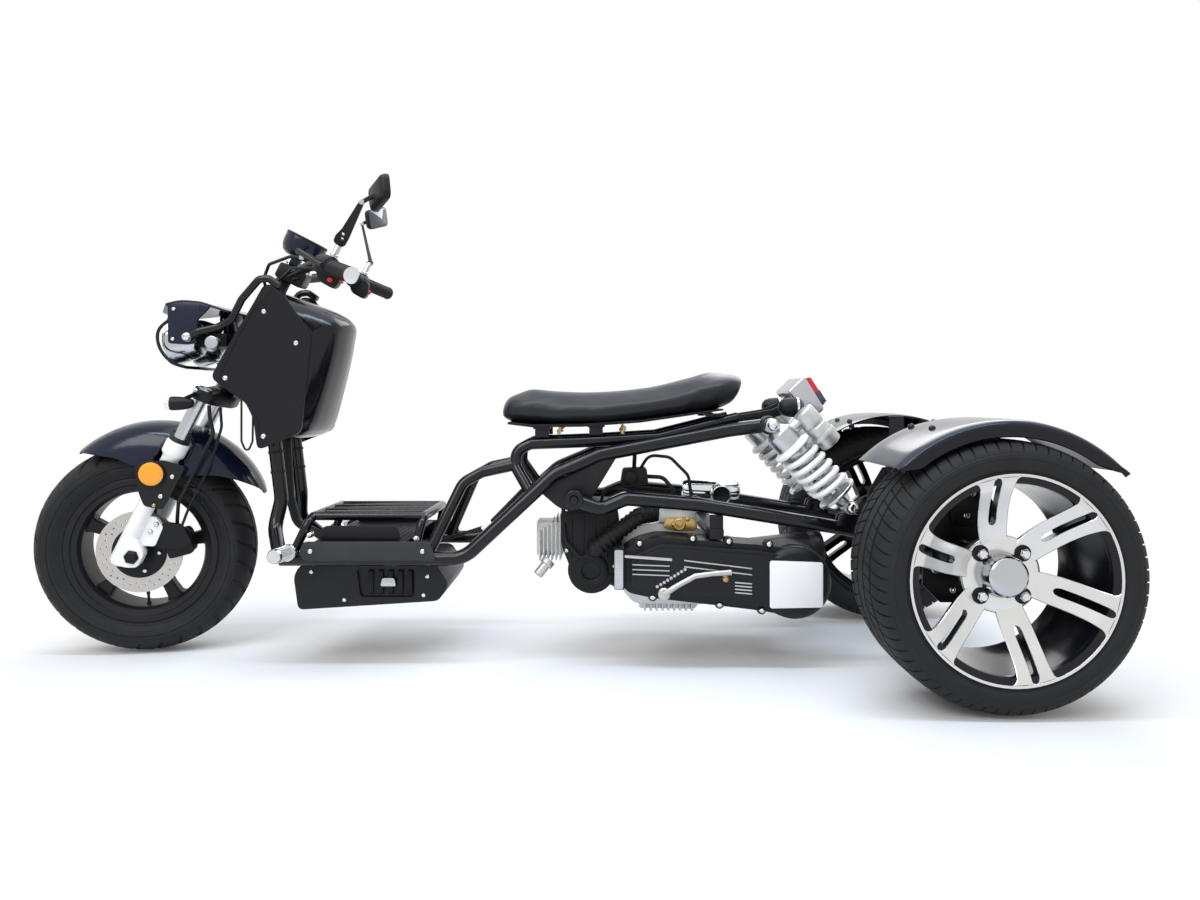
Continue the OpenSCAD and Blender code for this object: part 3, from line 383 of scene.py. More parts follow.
CAP = Finish("cap_alloy", Slot.CHROME, (0.50, 0.51, 0.53), 0.17, Grain.BRUSHED, metallic=1.0, change=0.1)
MIRROR = Finish("mirror_glass", Slot.CHROME, (0.09, 0.10, 0.12), 0.03, Grain.PLAIN, metallic=1.0, spread=0.01)


def turned(name: str, centre: Vector) -> Finish:
    """Give the lathe-cut face finish of one wheel.

    Args:
        name: The finish's name.
        centre: The wheel's middle in millimetres.

    Returns:
        The finish, with its rings on that wheel's axle.
    """
    middle = tuple(c * MM for c in centre)
    return Finish(name, Slot.ALLOY, (0.70, 0.70, 0.69), 0.26, Grain.TURNED, metallic=1.0, change=0.08, centre=middle)


def soften(path: Sequence[Point], radius: float, steps: int = 6) -> list[Vector]:
    """Round the corners of a path.

    Args:
        path: The corner points.
        radius: The bend radius.
        steps: Points along each bend.

    Returns:
        The points of the rounded path.
    """
    points = [Vector(p) for p in path]
    out = [points[0]]
    for before, here, after in zip(points, points[1:], points[2:]):
        into, away = (here - before).normalized(), (after - here).normalized()
        angle = into.angle(away)
        if angle < 0.02:
            out.append(here)
            continue
        cut = min(radius * math.tan(angle / 2), 0.48 * (here - before).length, 0.48 * (after - here).length)
        bend = cut / math.tan(angle / 2)
        side = (away - into * away.dot(into)).normalized()
        middle = here - into * cut + side * bend
        for k in range(steps + 1):
            turn = angle * k / steps
            out.append(middle + (into * math.sin(turn) - side * math.cos(turn)) * bend)
    out.append(points[-1])
    return out


def mirrored(path: Iterable[Point]) -> list[Point]:
    """Give the same points on the other side of the trike."""
    return [(p[0], -p[1], p[2]) for p in path]


def eased(outline: Sequence[Flat], radius: float, steps: int = 4) -> list[Flat]:
    """Round the corners of a closed flat outline.

    Args:
        outline: The corner points.
        radius: How far from each corner the rounding starts.
        steps: Points along each corner.

    Returns:
        The rounded outline.
    """
    points = [Vector(p) for p in outline]
    out = []
    for i, here in enumerate(points):
        into, away = here - points[i - 1], points[(i + 1) % len(points)] - here
        cut = min(radius, 0.45 * into.length, 0.45 * away.length)
        start, end = here - into.normalized() * cut, here + away.normalized() * cut
        for k in range(steps + 1):
            t = k / steps
            out.append(tuple(start * (1 - t) ** 2 + here * (2 * t * (1 - t)) + end * t ** 2))
    return out


def spline(points: Sequence[Point], steps: int) -> list[Vector]:
    """Draw a smooth line through points.

    Args:
        points: The points.
        steps: Points for each span.

    Returns:
        The points of the line.
    """
    knots = [Vector(p) for p in points]
    last = len(knots) - 1
    out = []
    for i in range(last):
        a, b, c, d = knots[max(i - 1, 0)], knots[i], knots[i + 1], knots[min(i + 2, last)]
        for k in range(steps):
            t = k / steps
            out.append(
                (b * 2 + (c - a) * t + (a * 2 - b * 5 + c * 4 - d) * t ** 2 + (b * 3 - a - c * 3 + d) * t ** 3) / 2
            )
    return out + [knots[-1]]


def side_name(side: int) -> str:
    """Give the word for a side: 1 is left, -1 is right."""
    return "left" if side > 0 else "right"


def linked(name: str, data: bpy.types.ID) -> bpy.types.Object:
    """Put new data into the scene as an object at the origin.

    Args:
        name: The object's name.
        data: Its mesh, lamp or camera.

    Returns:
        The object.
    """
    obj = bpy.data.objects.new(name, data)
    bpy.context.scene.collection.objects.link(obj)
    return obj


def baked(obj: bpy.types.Object) -> bpy.types.Mesh:
    """Give the plain mesh that an object's modifiers make of it."""
    bpy.context.view_layer.update()
    return bpy.data.meshes.new_from_object(obj.evaluated_get(bpy.context.evaluated_depsgraph_get()))


def net(rows: Sequence[Sequence[Point]], along: int, across: int) -> list[list[Vector]]:
    """Draw a smooth surface through rows of points.

    Args:
        rows: The rows, each with the same count.
        along: Points for each span of a row.
        across: Rows for each span between rows.

    Returns:
        The finer rows.
    """
    fine = [spline(row, along) for row in rows]
    return [list(row) for row in zip(*(spline(column, across) for column in zip(*fine)))]


class Piece:
    """One visible piece, drawn in millimetres in a frame and kept at the origin."""

    def __init__(self, name: str, place: Matrix = WORLD) -> None:
        """Start an empty piece.

        Args:
            name: The piece's name.
            place: The frame it is drawn in.
        """
        self.name = name
        self.place = place
        self.mesh = bmesh.new()

    def skin(
        self, rings: Sequence[Sequence[Point]], around: bool = True, caps: bool = True, loop: bool = False
    ) -> "Piece":
        """Join rows of points with faces.

        Args:
            rings: The rows, each with the same count.
            around: Whether each row closes on itself.
            caps: Whether the first and last rows are filled.
            loop: Whether the last row joins the first.

        Returns:
            The piece.
        """
        rows = [[self.mesh.verts.new(self.place @ Vector(p)) for p in ring] for ring in rings]
        pairs = list(zip(rows, rows[1:])) + ([(rows[-1], rows[0])] if loop else [])
        for a, b in pairs:
            for k in range(len(a) if around else len(a) - 1):
                j = (k + 1) % len(a)
                self.mesh.faces.new((a[k], a[j], b[j], b[k]))
        if caps and not loop:
            self.mesh.faces.new(rows[0][::-1])
            self.mesh.faces.new(rows[-1])
        return self

    def tube(
        self, path: Sequence[Point], size: float | Sequence[float], bend: float = 0.0, sides: int = 20
    ) -> "Piece":
        """Sweep a round bar along a path.

        Args:
            path: The corner points.
            size: The diameter, or one for each point.
            bend: The bend radius at the corners.
            sides: Faces round the bar.

        Returns:
            The piece.
        """
        points = soften(path, bend) if bend else [Vector(p) for p in path]
        sizes = [size] * len(points) if isinstance(size, (int, float)) else list(size)
        last = len(points) - 1
        rings, normal = [], None
        for i, point in enumerate(points):
            along = (points[min(i + 1, last)] - points[max(i - 1, 0)]).normalized()
            if normal is None:
                normal = along.cross(Vector((0, 0, 1)) if abs(along.z) < 0.8 else Vector((0, 1, 0)))
            normal = (normal - along * normal.dot(along)).normalized()
            other = along.cross(normal)
            turns = [2 * math.pi * k / sides for k in range(sides)]
            rings.append([point + (normal * math.cos(t) + other * math.sin(t)) * sizes[i] / 2 for t in turns])
        return self.skin(rings)

    def lathe(
        self, profile: Sequence[Flat], at: Point = (0, 0, 0), axis: Point = (0, 1, 0), steps: int = 40,
        ring: bool = False
    ) -> "Piece":
        """Turn a profile about an axis.

        Args:
            profile: Points of (radius, height along the axis).
            at: A point on the axis, at height 0.
            axis: The axis direction.
            steps: Faces round the axis.
            ring: Whether the profile closes on itself and leaves a hole.

        Returns:
            The piece.
        """
        along = Vector(axis).normalized()
        side = along.orthogonal().normalized()
        other = along.cross(side)
        rings = []
        for k in range(steps):
            turn = 2 * math.pi * k / steps
            out = side * math.cos(turn) + other * math.sin(turn)
            rings.append([Vector(at) + along * h + out * r for r, h in profile])
        return self.skin(rings, around=ring, caps=False, loop=True)

    def plate(self, outline: Sequence[Flat], low: float, high: float) -> "Piece":
        """Push a side outline across the trike.

        Args:
            outline: Points of (X, Z).
            low: Where it starts along Y.
            high: Where it ends along Y.

        Returns:
            The piece.
        """
        return self.skin([[(x, y, z) for x, z in outline] for y in (low, high)])

    def block(self, low: Point, high: Point) -> "Piece":
        """Add a square-edged block between two corners."""
        return self.plate([
            (low[0], low[2]), (high[0], low[2]), (high[0], high[2]), (low[0], high[2])
        ], low[1], high[1])

    def slab(self, outline: Sequence[Flat], low: float, high: float) -> "Piece":
        """Raise a plan outline.

        Args:
            outline: Points of (X, Y).
            low: Where it starts along Z.
            high: Where it ends along Z.

        Returns:
            The piece.
        """
        return self.skin([[(x, y, z) for x, y in outline] for z in (low, high)])

    def sheet(self, top: Sequence[Sequence[Point]], low: Sequence[Sequence[Point]]) -> "Piece":
        """Join two surfaces into a closed sheet.

        Args:
            top: The rows of the outer surface.
            low: The rows of the inner surface, with the same counts.

        Returns:
            The piece.
        """
        count, width = len(top), len(top[0])
        sides = [[[self.mesh.verts.new(self.place @ Vector(p)) for p in row] for row in rows] for rows in (top, low)]
        for i in range(count - 1):
            for k in range(width - 1):
                for rows in sides:
                    self.mesh.faces.new((rows[i][k], rows[i][k + 1], rows[i + 1][k + 1], rows[i + 1][k]))
        rim = [(0, k) for k in range(width)] + [(i, width - 1) for i in range(1, count)]
        rim += [(count - 1, k) for k in range(width - 2, -1, -1)] + [(i, 0) for i in range(count - 2, 0, -1)]
        for (i, k), (m, n) in zip(rim, rim[1:] + rim[:1]):
            self.mesh.faces.new((sides[0][i][k], sides[0][m][n], sides[1][m][n], sides[1][i][k]))
        return self

    def weld(self, distance: float = WELD) -> "Piece":
        """Merge double points and turn all faces outwards."""
        bmesh.ops.remove_doubles(self.mesh, verts=self.mesh.verts, dist=distance)
        bmesh.ops.recalc_face_normals(self.mesh, faces=self.mesh.faces)
        return self

    def object(self) -> bpy.types.Object:
        """Give the drawing, as it stands, as an object in the scene."""
        data = bpy.data.meshes.new(self.name)
        self.mesh.to_mesh(data)
        return linked(self.name, data)

    def cut(self, tool: "Piece") -> "Piece":
        """Cut another closed drawing out of this one.

        Args:
            tool: What is cut away; it is used up.

        Returns:
            The piece.
        """
        body, blade = self.weld().object(), tool.weld().object()
        modifier = body.modifiers.new("cut", "BOOLEAN")
        modifier.operation, modifier.solver, modifier.object = "DIFFERENCE", "EXACT", blade
        data = baked(body)
        self.mesh.clear()
        self.mesh.from_mesh(data)
        for obj in (body, blade):
            bpy.data.objects.remove(obj)
        tool.mesh.free()
        return self

    def mirror(self) -> "Piece":
        """Add the same shape on the other side of the trike, across Y = 0 of the drawing frame."""
        flip = self.place @ Matrix.Scale(-1, 4, (0, 1, 0)) @ self.place.inverted()
        copy = bmesh.ops.duplicate(
            self.mesh, geom=self.mesh.verts[:] + self.mesh.edges[:] + self.mesh.faces[:]
        )["geom"]
        verts = [g for g in copy if isinstance(g, bmesh.types.BMVert)]
        bmesh.ops.transform(self.mesh, matrix=flip, verts=verts)
        bmesh.ops.reverse_faces(self.mesh, faces=[g for g in copy if isinstance(g, bmesh.types.BMFace)])
        return self

    def done(
        self, finish: Finish, body: Body, replaces: Sequence[str] = (), bevel: float = 0.0, sharp: float = 38.0,
        steps: int = 2
    ) -> bpy.types.Object:
        """Finish the piece: weld, ease its edges, shade, paint and put it on its body.

        Args:
            finish: Its surface.
            body: The body it rides on.
            replaces: The CAD nodes that it stands for.
            bevel: The width of its eased edges in millimetres.
            sharp: Edges over this angle in degrees stay crisp.
            steps: Faces across an eased edge.

        Returns:
            The object.
        """
        self.weld()
        if bevel:
            limit = math.radians(sharp)
            edges = [e for e in self.mesh.edges if e.is_manifold and e.calc_face_angle(0.0) > limit]
            bmesh.ops.bevel(
                self.mesh, geom=edges, offset=bevel * MM, offset_type="OFFSET",
                segments=steps, profile=0.5, affect="EDGES", clamp_overlap=True,
            )
        obj = self.object()
        self.mesh.free()
        return settle(obj, finish, body, replaces, sharp)


def settle(
    obj: bpy.types.Object, finish: Finish, body: Body, replaces: Sequence[str] = (), sharp: float = 38.0
) -> bpy.types.Object:
    """Shade and paint an object and put it on its body.

    Args:
        obj: The object, in place.
        finish: Its surface.
        body: The body it rides on.
        replaces: The CAD nodes that it stands for.
        sharp: Edges over this angle in degrees stay crisp.

    Returns:
        The object.
    """
    data = obj.data
    data.materials.clear()
    data.materials.append(finish.material())
    data.polygons.foreach_set("material_index", [0] * len(data.polygons))
    data.shade_smooth()
    data.set_sharp_from_angle(angle=math.radians(sharp))
    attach(obj, body.value)
    if replaces:
        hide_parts(*replaces)
    LOG.info("%s: %d faces on %s", obj.name, len(data.polygons), body.value)
    return obj


class NodeTree:
    """A Geometry Nodes tree with named inputs."""

    def __init__(self, name: str, inputs: dict[str, str]) -> None:
        """Start a tree.

        Args:
            name: The tree's name.
            inputs: Socket type by input name, after the geometry.
        """
        self.tree = bpy.data.node_groups.new(name, "GeometryNodeTree")
        face = self.tree.interface
        face.new_socket("Geometry", in_out="INPUT", socket_type="NodeSocketGeometry")
        self.ids = {
            key: face.new_socket(key, in_out="INPUT", socket_type=kind).identifier for key, kind in inputs.items()
        }
        face.new_socket("Geometry", in_out="OUTPUT", socket_type="NodeSocketGeometry")
        self.source = self.tree.nodes.new("NodeGroupInput")
        self.target = self.tree.nodes.new("NodeGroupOutput")

    def add(self, kind: str, **values: object) -> bpy.types.Node:
        """Add a node and set its inputs by name, with _ for a space."""
        node = self.tree.nodes.new(kind)
        for key, value in values.items():
            node.inputs[key.replace("_", " ")].default_value = value
        return node

    def math(self, operation: str, first: object, second: object) -> bpy.types.NodeSocket:
        """Add a sum of two values.

        Args:
            operation: The sum's name.
            first: A socket or a number.
            second: A socket or a number.

        Returns:
            The result.
        """
        node = self.tree.nodes.new("ShaderNodeMath")
        node.operation = operation
        for slot, value in enumerate((first, second)):
            if isinstance(value, (int, float)):
                node.inputs[slot].default_value = value
            else:
                self.tree.links.new(value, node.inputs[slot])
        return node.outputs[0]

    def link(self, source: bpy.types.NodeSocket, target: bpy.types.NodeSocket) -> None:
        """Join an output to an input."""
        self.tree.links.new(source, target)

    def end(self, instances: bpy.types.NodeSocket) -> None:
        """End the tree: make the instances real and give them the material input."""
        real = self.add("GeometryNodeRealizeInstances")
        paint = self.add("GeometryNodeSetMaterial")
        self.link(instances, real.inputs["Geometry"])
        self.link(real.outputs["Geometry"], paint.inputs["Geometry"])
        self.link(self.source.outputs["Material"], paint.inputs["Material"])
        self.link(paint.outputs["Geometry"], self.target.inputs[0])

    def run(self, obj: bpy.types.Object, **values: object) -> None:
        """Run the tree on an object and keep the result as its plain mesh.

        Args:
            obj: The object to change.
            values: Input values by name.
        """
        modifier = obj.modifiers.new(self.tree.name, "NODES")
        modifier.node_group = self.tree
        for key, value in values.items():
            modifier[self.ids[key]] = value
        data = baked(obj)
        obj.modifiers.clear()
        old, obj.data = obj.data, data
        bpy.data.meshes.remove(old)


class RingTree(NodeTree):
    """Repeats a shape about the Y axis."""

    def __init__(self) -> None:
        """Build the tree."""
        super().__init__(
            "ring_repeat", {"Count": "NodeSocketInt", "Start": "NodeSocketFloat", "Material": "NodeSocketMaterial"}
        )
        points = self.add("GeometryNodePoints")
        index = self.add("GeometryNodeInputIndex")
        turn = self.add("FunctionNodeAxisAngleToRotation", Axis=(0.0, 1.0, 0.0))
        spread = self.add("GeometryNodeInstanceOnPoints")
        step = self.math("DIVIDE", 2 * math.pi, self.source.outputs["Count"])
        angle = self.math("ADD", self.math("MULTIPLY", index.outputs[0], step), self.source.outputs["Start"])
        self.link(self.source.outputs["Count"], points.inputs["Count"])
        self.link(angle, turn.inputs["Angle"])
        self.link(points.outputs[0], spread.inputs["Points"])
        self.link(self.source.outputs["Geometry"], spread.inputs["Instance"])
        self.link(turn.outputs[0], spread.inputs["Rotation"])
        self.end(spread.outputs["Instances"])


class SeedTree(NodeTree):
    """Puts a dome-headed screw at each point of a mesh, along its axis attribute and as wide as its size attribute."""

    def __init__(self) -> None:
        """Build the tree."""
        super().__init__("screw_heads", {"Head": "NodeSocketObject", "Material": "NodeSocketMaterial"})
        head = self.add("GeometryNodeObjectInfo")
        axis = self.add("GeometryNodeInputNamedAttribute", Name="axis")
        axis.data_type = "FLOAT_VECTOR"
        size = self.add("GeometryNodeInputNamedAttribute", Name="size")
        size.data_type = "FLOAT"
        turn = self.add("FunctionNodeAlignRotationToVector")
        turn.axis = "Z"
        to_points = self.add("GeometryNodeMeshToPoints")
        spread = self.add("GeometryNodeInstanceOnPoints")
        self.link(self.source.outputs["Head"], head.inputs["Object"])
        self.link(self.source.outputs["Geometry"], to_points.inputs["Mesh"])
        self.link(axis.outputs["Attribute"], turn.inputs["Vector"])
        self.link(to_points.outputs[0], spread.inputs["Points"])
        self.link(head.outputs["Geometry"], spread.inputs["Instance"])
        self.link(turn.outputs[0], spread.inputs["Rotation"])
        self.link(size.outputs["Attribute"], spread.inputs["Scale"])
        self.end(spread.outputs["Instances"])


class CoilTree(NodeTree):
    """Makes a wire coil along Z."""

    def __init__(self) -> None:
        """Build the tree."""
        super().__init__("wire_coil", {
            "Turns": "NodeSocketFloat", "Radius": "NodeSocketFloat", "Height": "NodeSocketFloat",
            "Wire": "NodeSocketFloat", "Material": "NodeSocketMaterial",
        })
        path = self.add("GeometryNodeCurveSpiral", Resolution=40)
        wire = self.add("GeometryNodeCurvePrimitiveCircle", Resolution=14)
        body = self.add("GeometryNodeCurveToMesh", Fill_Caps=True)
        out = self.source.outputs
        self.link(out["Turns"], path.inputs["Rotations"])
        self.link(out["Radius"], path.inputs["Start Radius"])
        self.link(out["Radius"], path.inputs["End Radius"])
        self.link(out["Height"], path.inputs["Height"])
        self.link(out["Wire"], wire.inputs["Radius"])
        self.link(path.outputs[0], body.inputs["Curve"])
        self.link(wire.outputs[0], body.inputs["Profile Curve"])
        self.end(body.outputs[0])


RING = RingTree()
SEED = SeedTree()
COIL = CoilTree()


def ringed(
    piece: Piece, place: Matrix, count: int, start: float, finish: Finish, body: Body, replaces: Sequence[str] = (),
    sharp: float = 38.0
) -> bpy.types.Object:
    """Repeat a piece about the Y axis and set the ring in place.

    Args:
        piece: One step of the ring, drawn about the origin in metres.
        place: Where the ring goes, from metres about its own middle.
        count: How many steps.
        start: The first step's angle in radians.
        finish: The ring's surface.
        body: The body it rides on.
        replaces: The CAD nodes that it stands for.
        sharp: Edges over this angle in degrees stay crisp.

    Returns:
        The ring.
    """
    bmesh.ops.recalc_face_normals(piece.mesh, faces=piece.mesh.faces)
    obj = piece.object()
    piece.mesh.free()
    RING.run(obj, Count=count, Start=start, Material=finish.material())
    work = bmesh.new()
    work.from_mesh(obj.data)
    bmesh.ops.remove_doubles(work, verts=work.verts, dist=RING_WELD)
    bmesh.ops.recalc_face_normals(work, faces=work.faces)
    work.to_mesh(obj.data)
    work.free()
    obj.data.transform(place)
    return settle(obj, finish, body, replaces, sharp)


@dataclass
class Screws:
    """A set of screw heads on one body."""

    name: str
    body: Body
    finish: Finish = CHROME
    points: list[tuple[Vector, Vector, float]] = field(default_factory=list)

    def add(self, at: Point, axis: Point, size: float, place: Matrix = WORLD) -> None:
        """Add a screw head.

        Args:
            at: Its foot, in the frame.
            axis: Which way it faces.
            size: Its width in millimetres.
            place: The frame it is drawn in.
        """
        turn = place.to_3x3().normalized()
        self.points.append((place @ Vector(at), (turn @ Vector(axis)).normalized(), size))

    def pair(self, at: Point, size: float, place: Matrix = WORLD) -> None:
        """Add a screw head on either side, each facing outwards.

        Args:
            at: The left one's foot, in the frame.
            size: Its width in millimetres.
            place: The frame it is drawn in.
        """
        for side in (1, -1):
            self.add((at[0], at[1] * side, at[2]), (0, side, 0), size, place)

    def build(self) -> bpy.types.Object:
        """Make all the heads as one piece.

        Returns:
            The object.
        """
        head = Piece(f"{self.name}_head", Matrix.Scale(MM, 4))
        head.lathe([
            (0, -1.2), (0.50, -1.2), (0.50, 0.12), (0.46, 0.2), (0.40, 0.34), (0.28, 0.46), (0.2, 0.48), (0.17, 0.3),
            (0, 0.3)
        ], axis=(0, 0, 1), steps=14)
        stamp = head.weld(HEAD_WELD).object()
        head.mesh.free()
        data = bpy.data.meshes.new(self.name)
        data.from_pydata([p for p, _, _ in self.points], [], [])
        data.attributes.new("axis", "FLOAT_VECTOR", "POINT").data.foreach_set(
            "vector", [c for _, a, _ in self.points for c in a]
        )
        data.attributes.new("size", "FLOAT", "POINT").data.foreach_set("value", [s for _, _, s in self.points])
        obj = linked(self.name, data)
        SEED.run(obj, Head=stamp, Material=self.finish.material())
        bpy.data.objects.remove(stamp)
        return settle(obj, self.finish, self.body)


@dataclass
class Studio:
    """The plain pale floor, the soft light and the camera."""

    camera_at: Point = (-0.1387, 2.0064, 0.569)
    lens: float = 26.4
    shift: float = -0.0417
    floor_half: float = 9.0
    fill: float = 0.62

    def build(self) -> None:
        """Set up the whole studio."""
        scene = bpy.context.scene
        scene.view_settings.view_transform = "Standard"
        self._camera()
        self._world()
        self._floor()
        self._lamp("key", (1.6, 2.4, 2.9), (-0.1, 0.0, 0.35), (1.8, 1.8), 58.0, (1.0, 0.98, 0.96))
        self._lamp("sky", (-0.2, -0.1, 3.1), (-0.2, 0.0, 0.3), (3.0, 3.0), 42.0, (0.80, 0.89, 1.0))
        self._lamp("strip", (-0.1, 0.75, 2.5), (-0.1, 0.0, 0.3), (3.2, 0.2), 34.0, (0.70, 0.83, 1.0))
        self._lamp("rear", (-1.4, -2.2, 2.4), (-0.3, 0.0, 0.4), (2.0, 2.0), 40.0, (1.0, 1.0, 1.0))

    def _camera(self) -> None:
        """Put the camera at the photograph's place."""
        data = bpy.data.cameras.new("camera")
        data.sensor_fit = "HORIZONTAL"
        data.sensor_width = 36.0
        data.lens = self.lens
        data.shift_y = self.shift
        data.clip_end = 60.0
        camera = linked("camera", data)
        camera.location = self.camera_at
        camera.rotation_euler = (math.pi / 2, 0.0, math.pi)
        bpy.context.scene.camera = camera

    @staticmethod
    def _seen(tree: bpy.types.NodeTree) -> bpy.types.NodeSocket:
        """Give 1 for rays that show the background: camera, glossy and transmission rays.

        Args:
            tree: The tree to add to.

        Returns:
            The flag.
        """
        path = tree.nodes.new("ShaderNodeLightPath")
        flag = path.outputs["Is Camera Ray"]
        for name in ("Is Glossy Ray", "Is Transmission Ray"):
            node = tree.nodes.new("ShaderNodeMath")
            node.operation = "MAXIMUM"
            tree.links.new(flag, node.inputs[0])
            tree.links.new(path.outputs[name], node.inputs[1])
            flag = node.outputs[0]
        return flag

    def _world(self) -> None:
        """Make a white background with a softer fill light."""
        world = bpy.data.worlds.new("studio")
        bpy.context.scene.world = world
        world.use_nodes = True
        tree = world.node_tree
        tree.nodes.clear()
        light = tree.nodes.new("ShaderNodeBackground")
        light.inputs["Strength"].default_value = self.fill
        shown = tree.nodes.new("ShaderNodeBackground")
        mix = tree.nodes.new("ShaderNodeMixShader")
        out = tree.nodes.new("ShaderNodeOutputWorld")
        for node in (light, shown):
            node.inputs["Color"].default_value = (1.0, 1.0, 1.0, 1.0)
        tree.links.new(self._seen(tree), mix.inputs[0])
        tree.links.new(light.outputs[0], mix.inputs[1])
        tree.links.new(shown.outputs[0], mix.inputs[2])
        tree.links.new(mix.outputs[0], out.inputs[0])

    def _floor(self) -> None:
        """Lay a pale floor that fades into the white background away from the trike."""
        half = self.floor_half
        data = bpy.data.meshes.new("floor")
        data.from_pydata([(-half, -half, 0), (half, -half, 0), (half, half, 0), (-half, half, 0)], [], [(0, 1, 2, 3)])
        floor = linked("floor", data)
        shader = Shader("pale_floor")
        tree = shader.tree
        shader.surface.inputs["Base Color"].default_value = (0.83, 0.83, 0.84, 1.0)
        shader.surface.inputs["Roughness"].default_value = 0.9
        shader.surface.inputs["Specular IOR Level"].default_value = 0.1
        reach = shader.add("ShaderNodeVectorMath")
        reach.operation = "LENGTH"
        shader.link(shader.place(scale=(0.72, 1.0, 1.0), shift=(-0.05, 0.12, 0.0)), reach.inputs[0])
        fade = shader.add("ShaderNodeMapRange", From_Min=0.55, From_Max=1.5)
        fade.interpolation_type = "SMOOTHSTEP"
        shader.link(reach.outputs["Value"], fade.inputs["Value"])
        share = shader.add("ShaderNodeMath")
        share.operation = "MULTIPLY"
        shader.link(fade.outputs["Result"], share.inputs[0])
        shader.link(self._seen(tree), share.inputs[1])
        white = shader.add("ShaderNodeEmission", Strength=1.0)
        white.inputs["Color"].default_value = (1.0, 1.0, 1.0, 1.0)
        mix = shader.add("ShaderNodeMixShader")
        shader.link(share.outputs[0], mix.inputs[0])
        shader.link(shader.surface.outputs[0], mix.inputs[1])
        shader.link(white.outputs[0], mix.inputs[2])
        shader.link(mix.outputs[0], tree.nodes["Material Output"].inputs["Surface"])
        data.materials.append(shader.material)

    @staticmethod
    def _lamp(name: str, at: Point, aim: Point, size: Flat, power: float, colour: Colour) -> None:
        """Hang one soft lamp.

        Args:
            name: The lamp's name.
            at: Where it hangs.
            aim: What it points at.
            size: Its length and width in metres.
            power: Its power in watts.
            colour: Its light.
        """
        data = bpy.data.lights.new(name, "AREA")
        data.shape = "RECTANGLE"
        data.size, data.size_y = size
        data.energy = power
        data.color = colour
        lamp = linked(name, data)
        lamp.location = at
        lamp.rotation_euler = (Vector(aim) - Vector(at)).to_track_quat("-Z", "Y").to_euler()


def tread_step(
    profile: Sequence[tuple[float, float, float]], stations: Sequence[tuple[float, float]], pitch: float, slant: float
) -> Piece:
    """Draw one step of a tyre, from bead to bead.

    Args:
        profile: Points of (radius, Y, how deep a cross cut goes there).
        stations: Points of (share of the step, share of the cut's depth).
        pitch: The step's angle in radians.
        slant: How far the cuts lean, in radians for each millimetre from the middle.

    Returns:
        The step, open at both ends, about the origin.
    """
    step = Piece("step", Matrix.Scale(MM, 4))
    rows = []
    for share, cut in stations:
        row = []
        for radius, y, depth in profile:
            turn = pitch * share + slant * abs(y) * (1.0 if depth or radius > profile[0][0] + 40 else 0.0)
            r = radius - depth * cut
            row.append((r * math.cos(turn), y, -r * math.sin(turn)))
        rows.append(row)
    return step.skin(rows, around=True, caps=False)


def both_sides(half: Sequence[tuple[float, float, float]]) -> list[tuple[float, float, float]]:
    """Give a tyre profile from its right half, the middle first."""
    return [(r, -y, d) for r, y, d in reversed(half[1:])] + list(half)


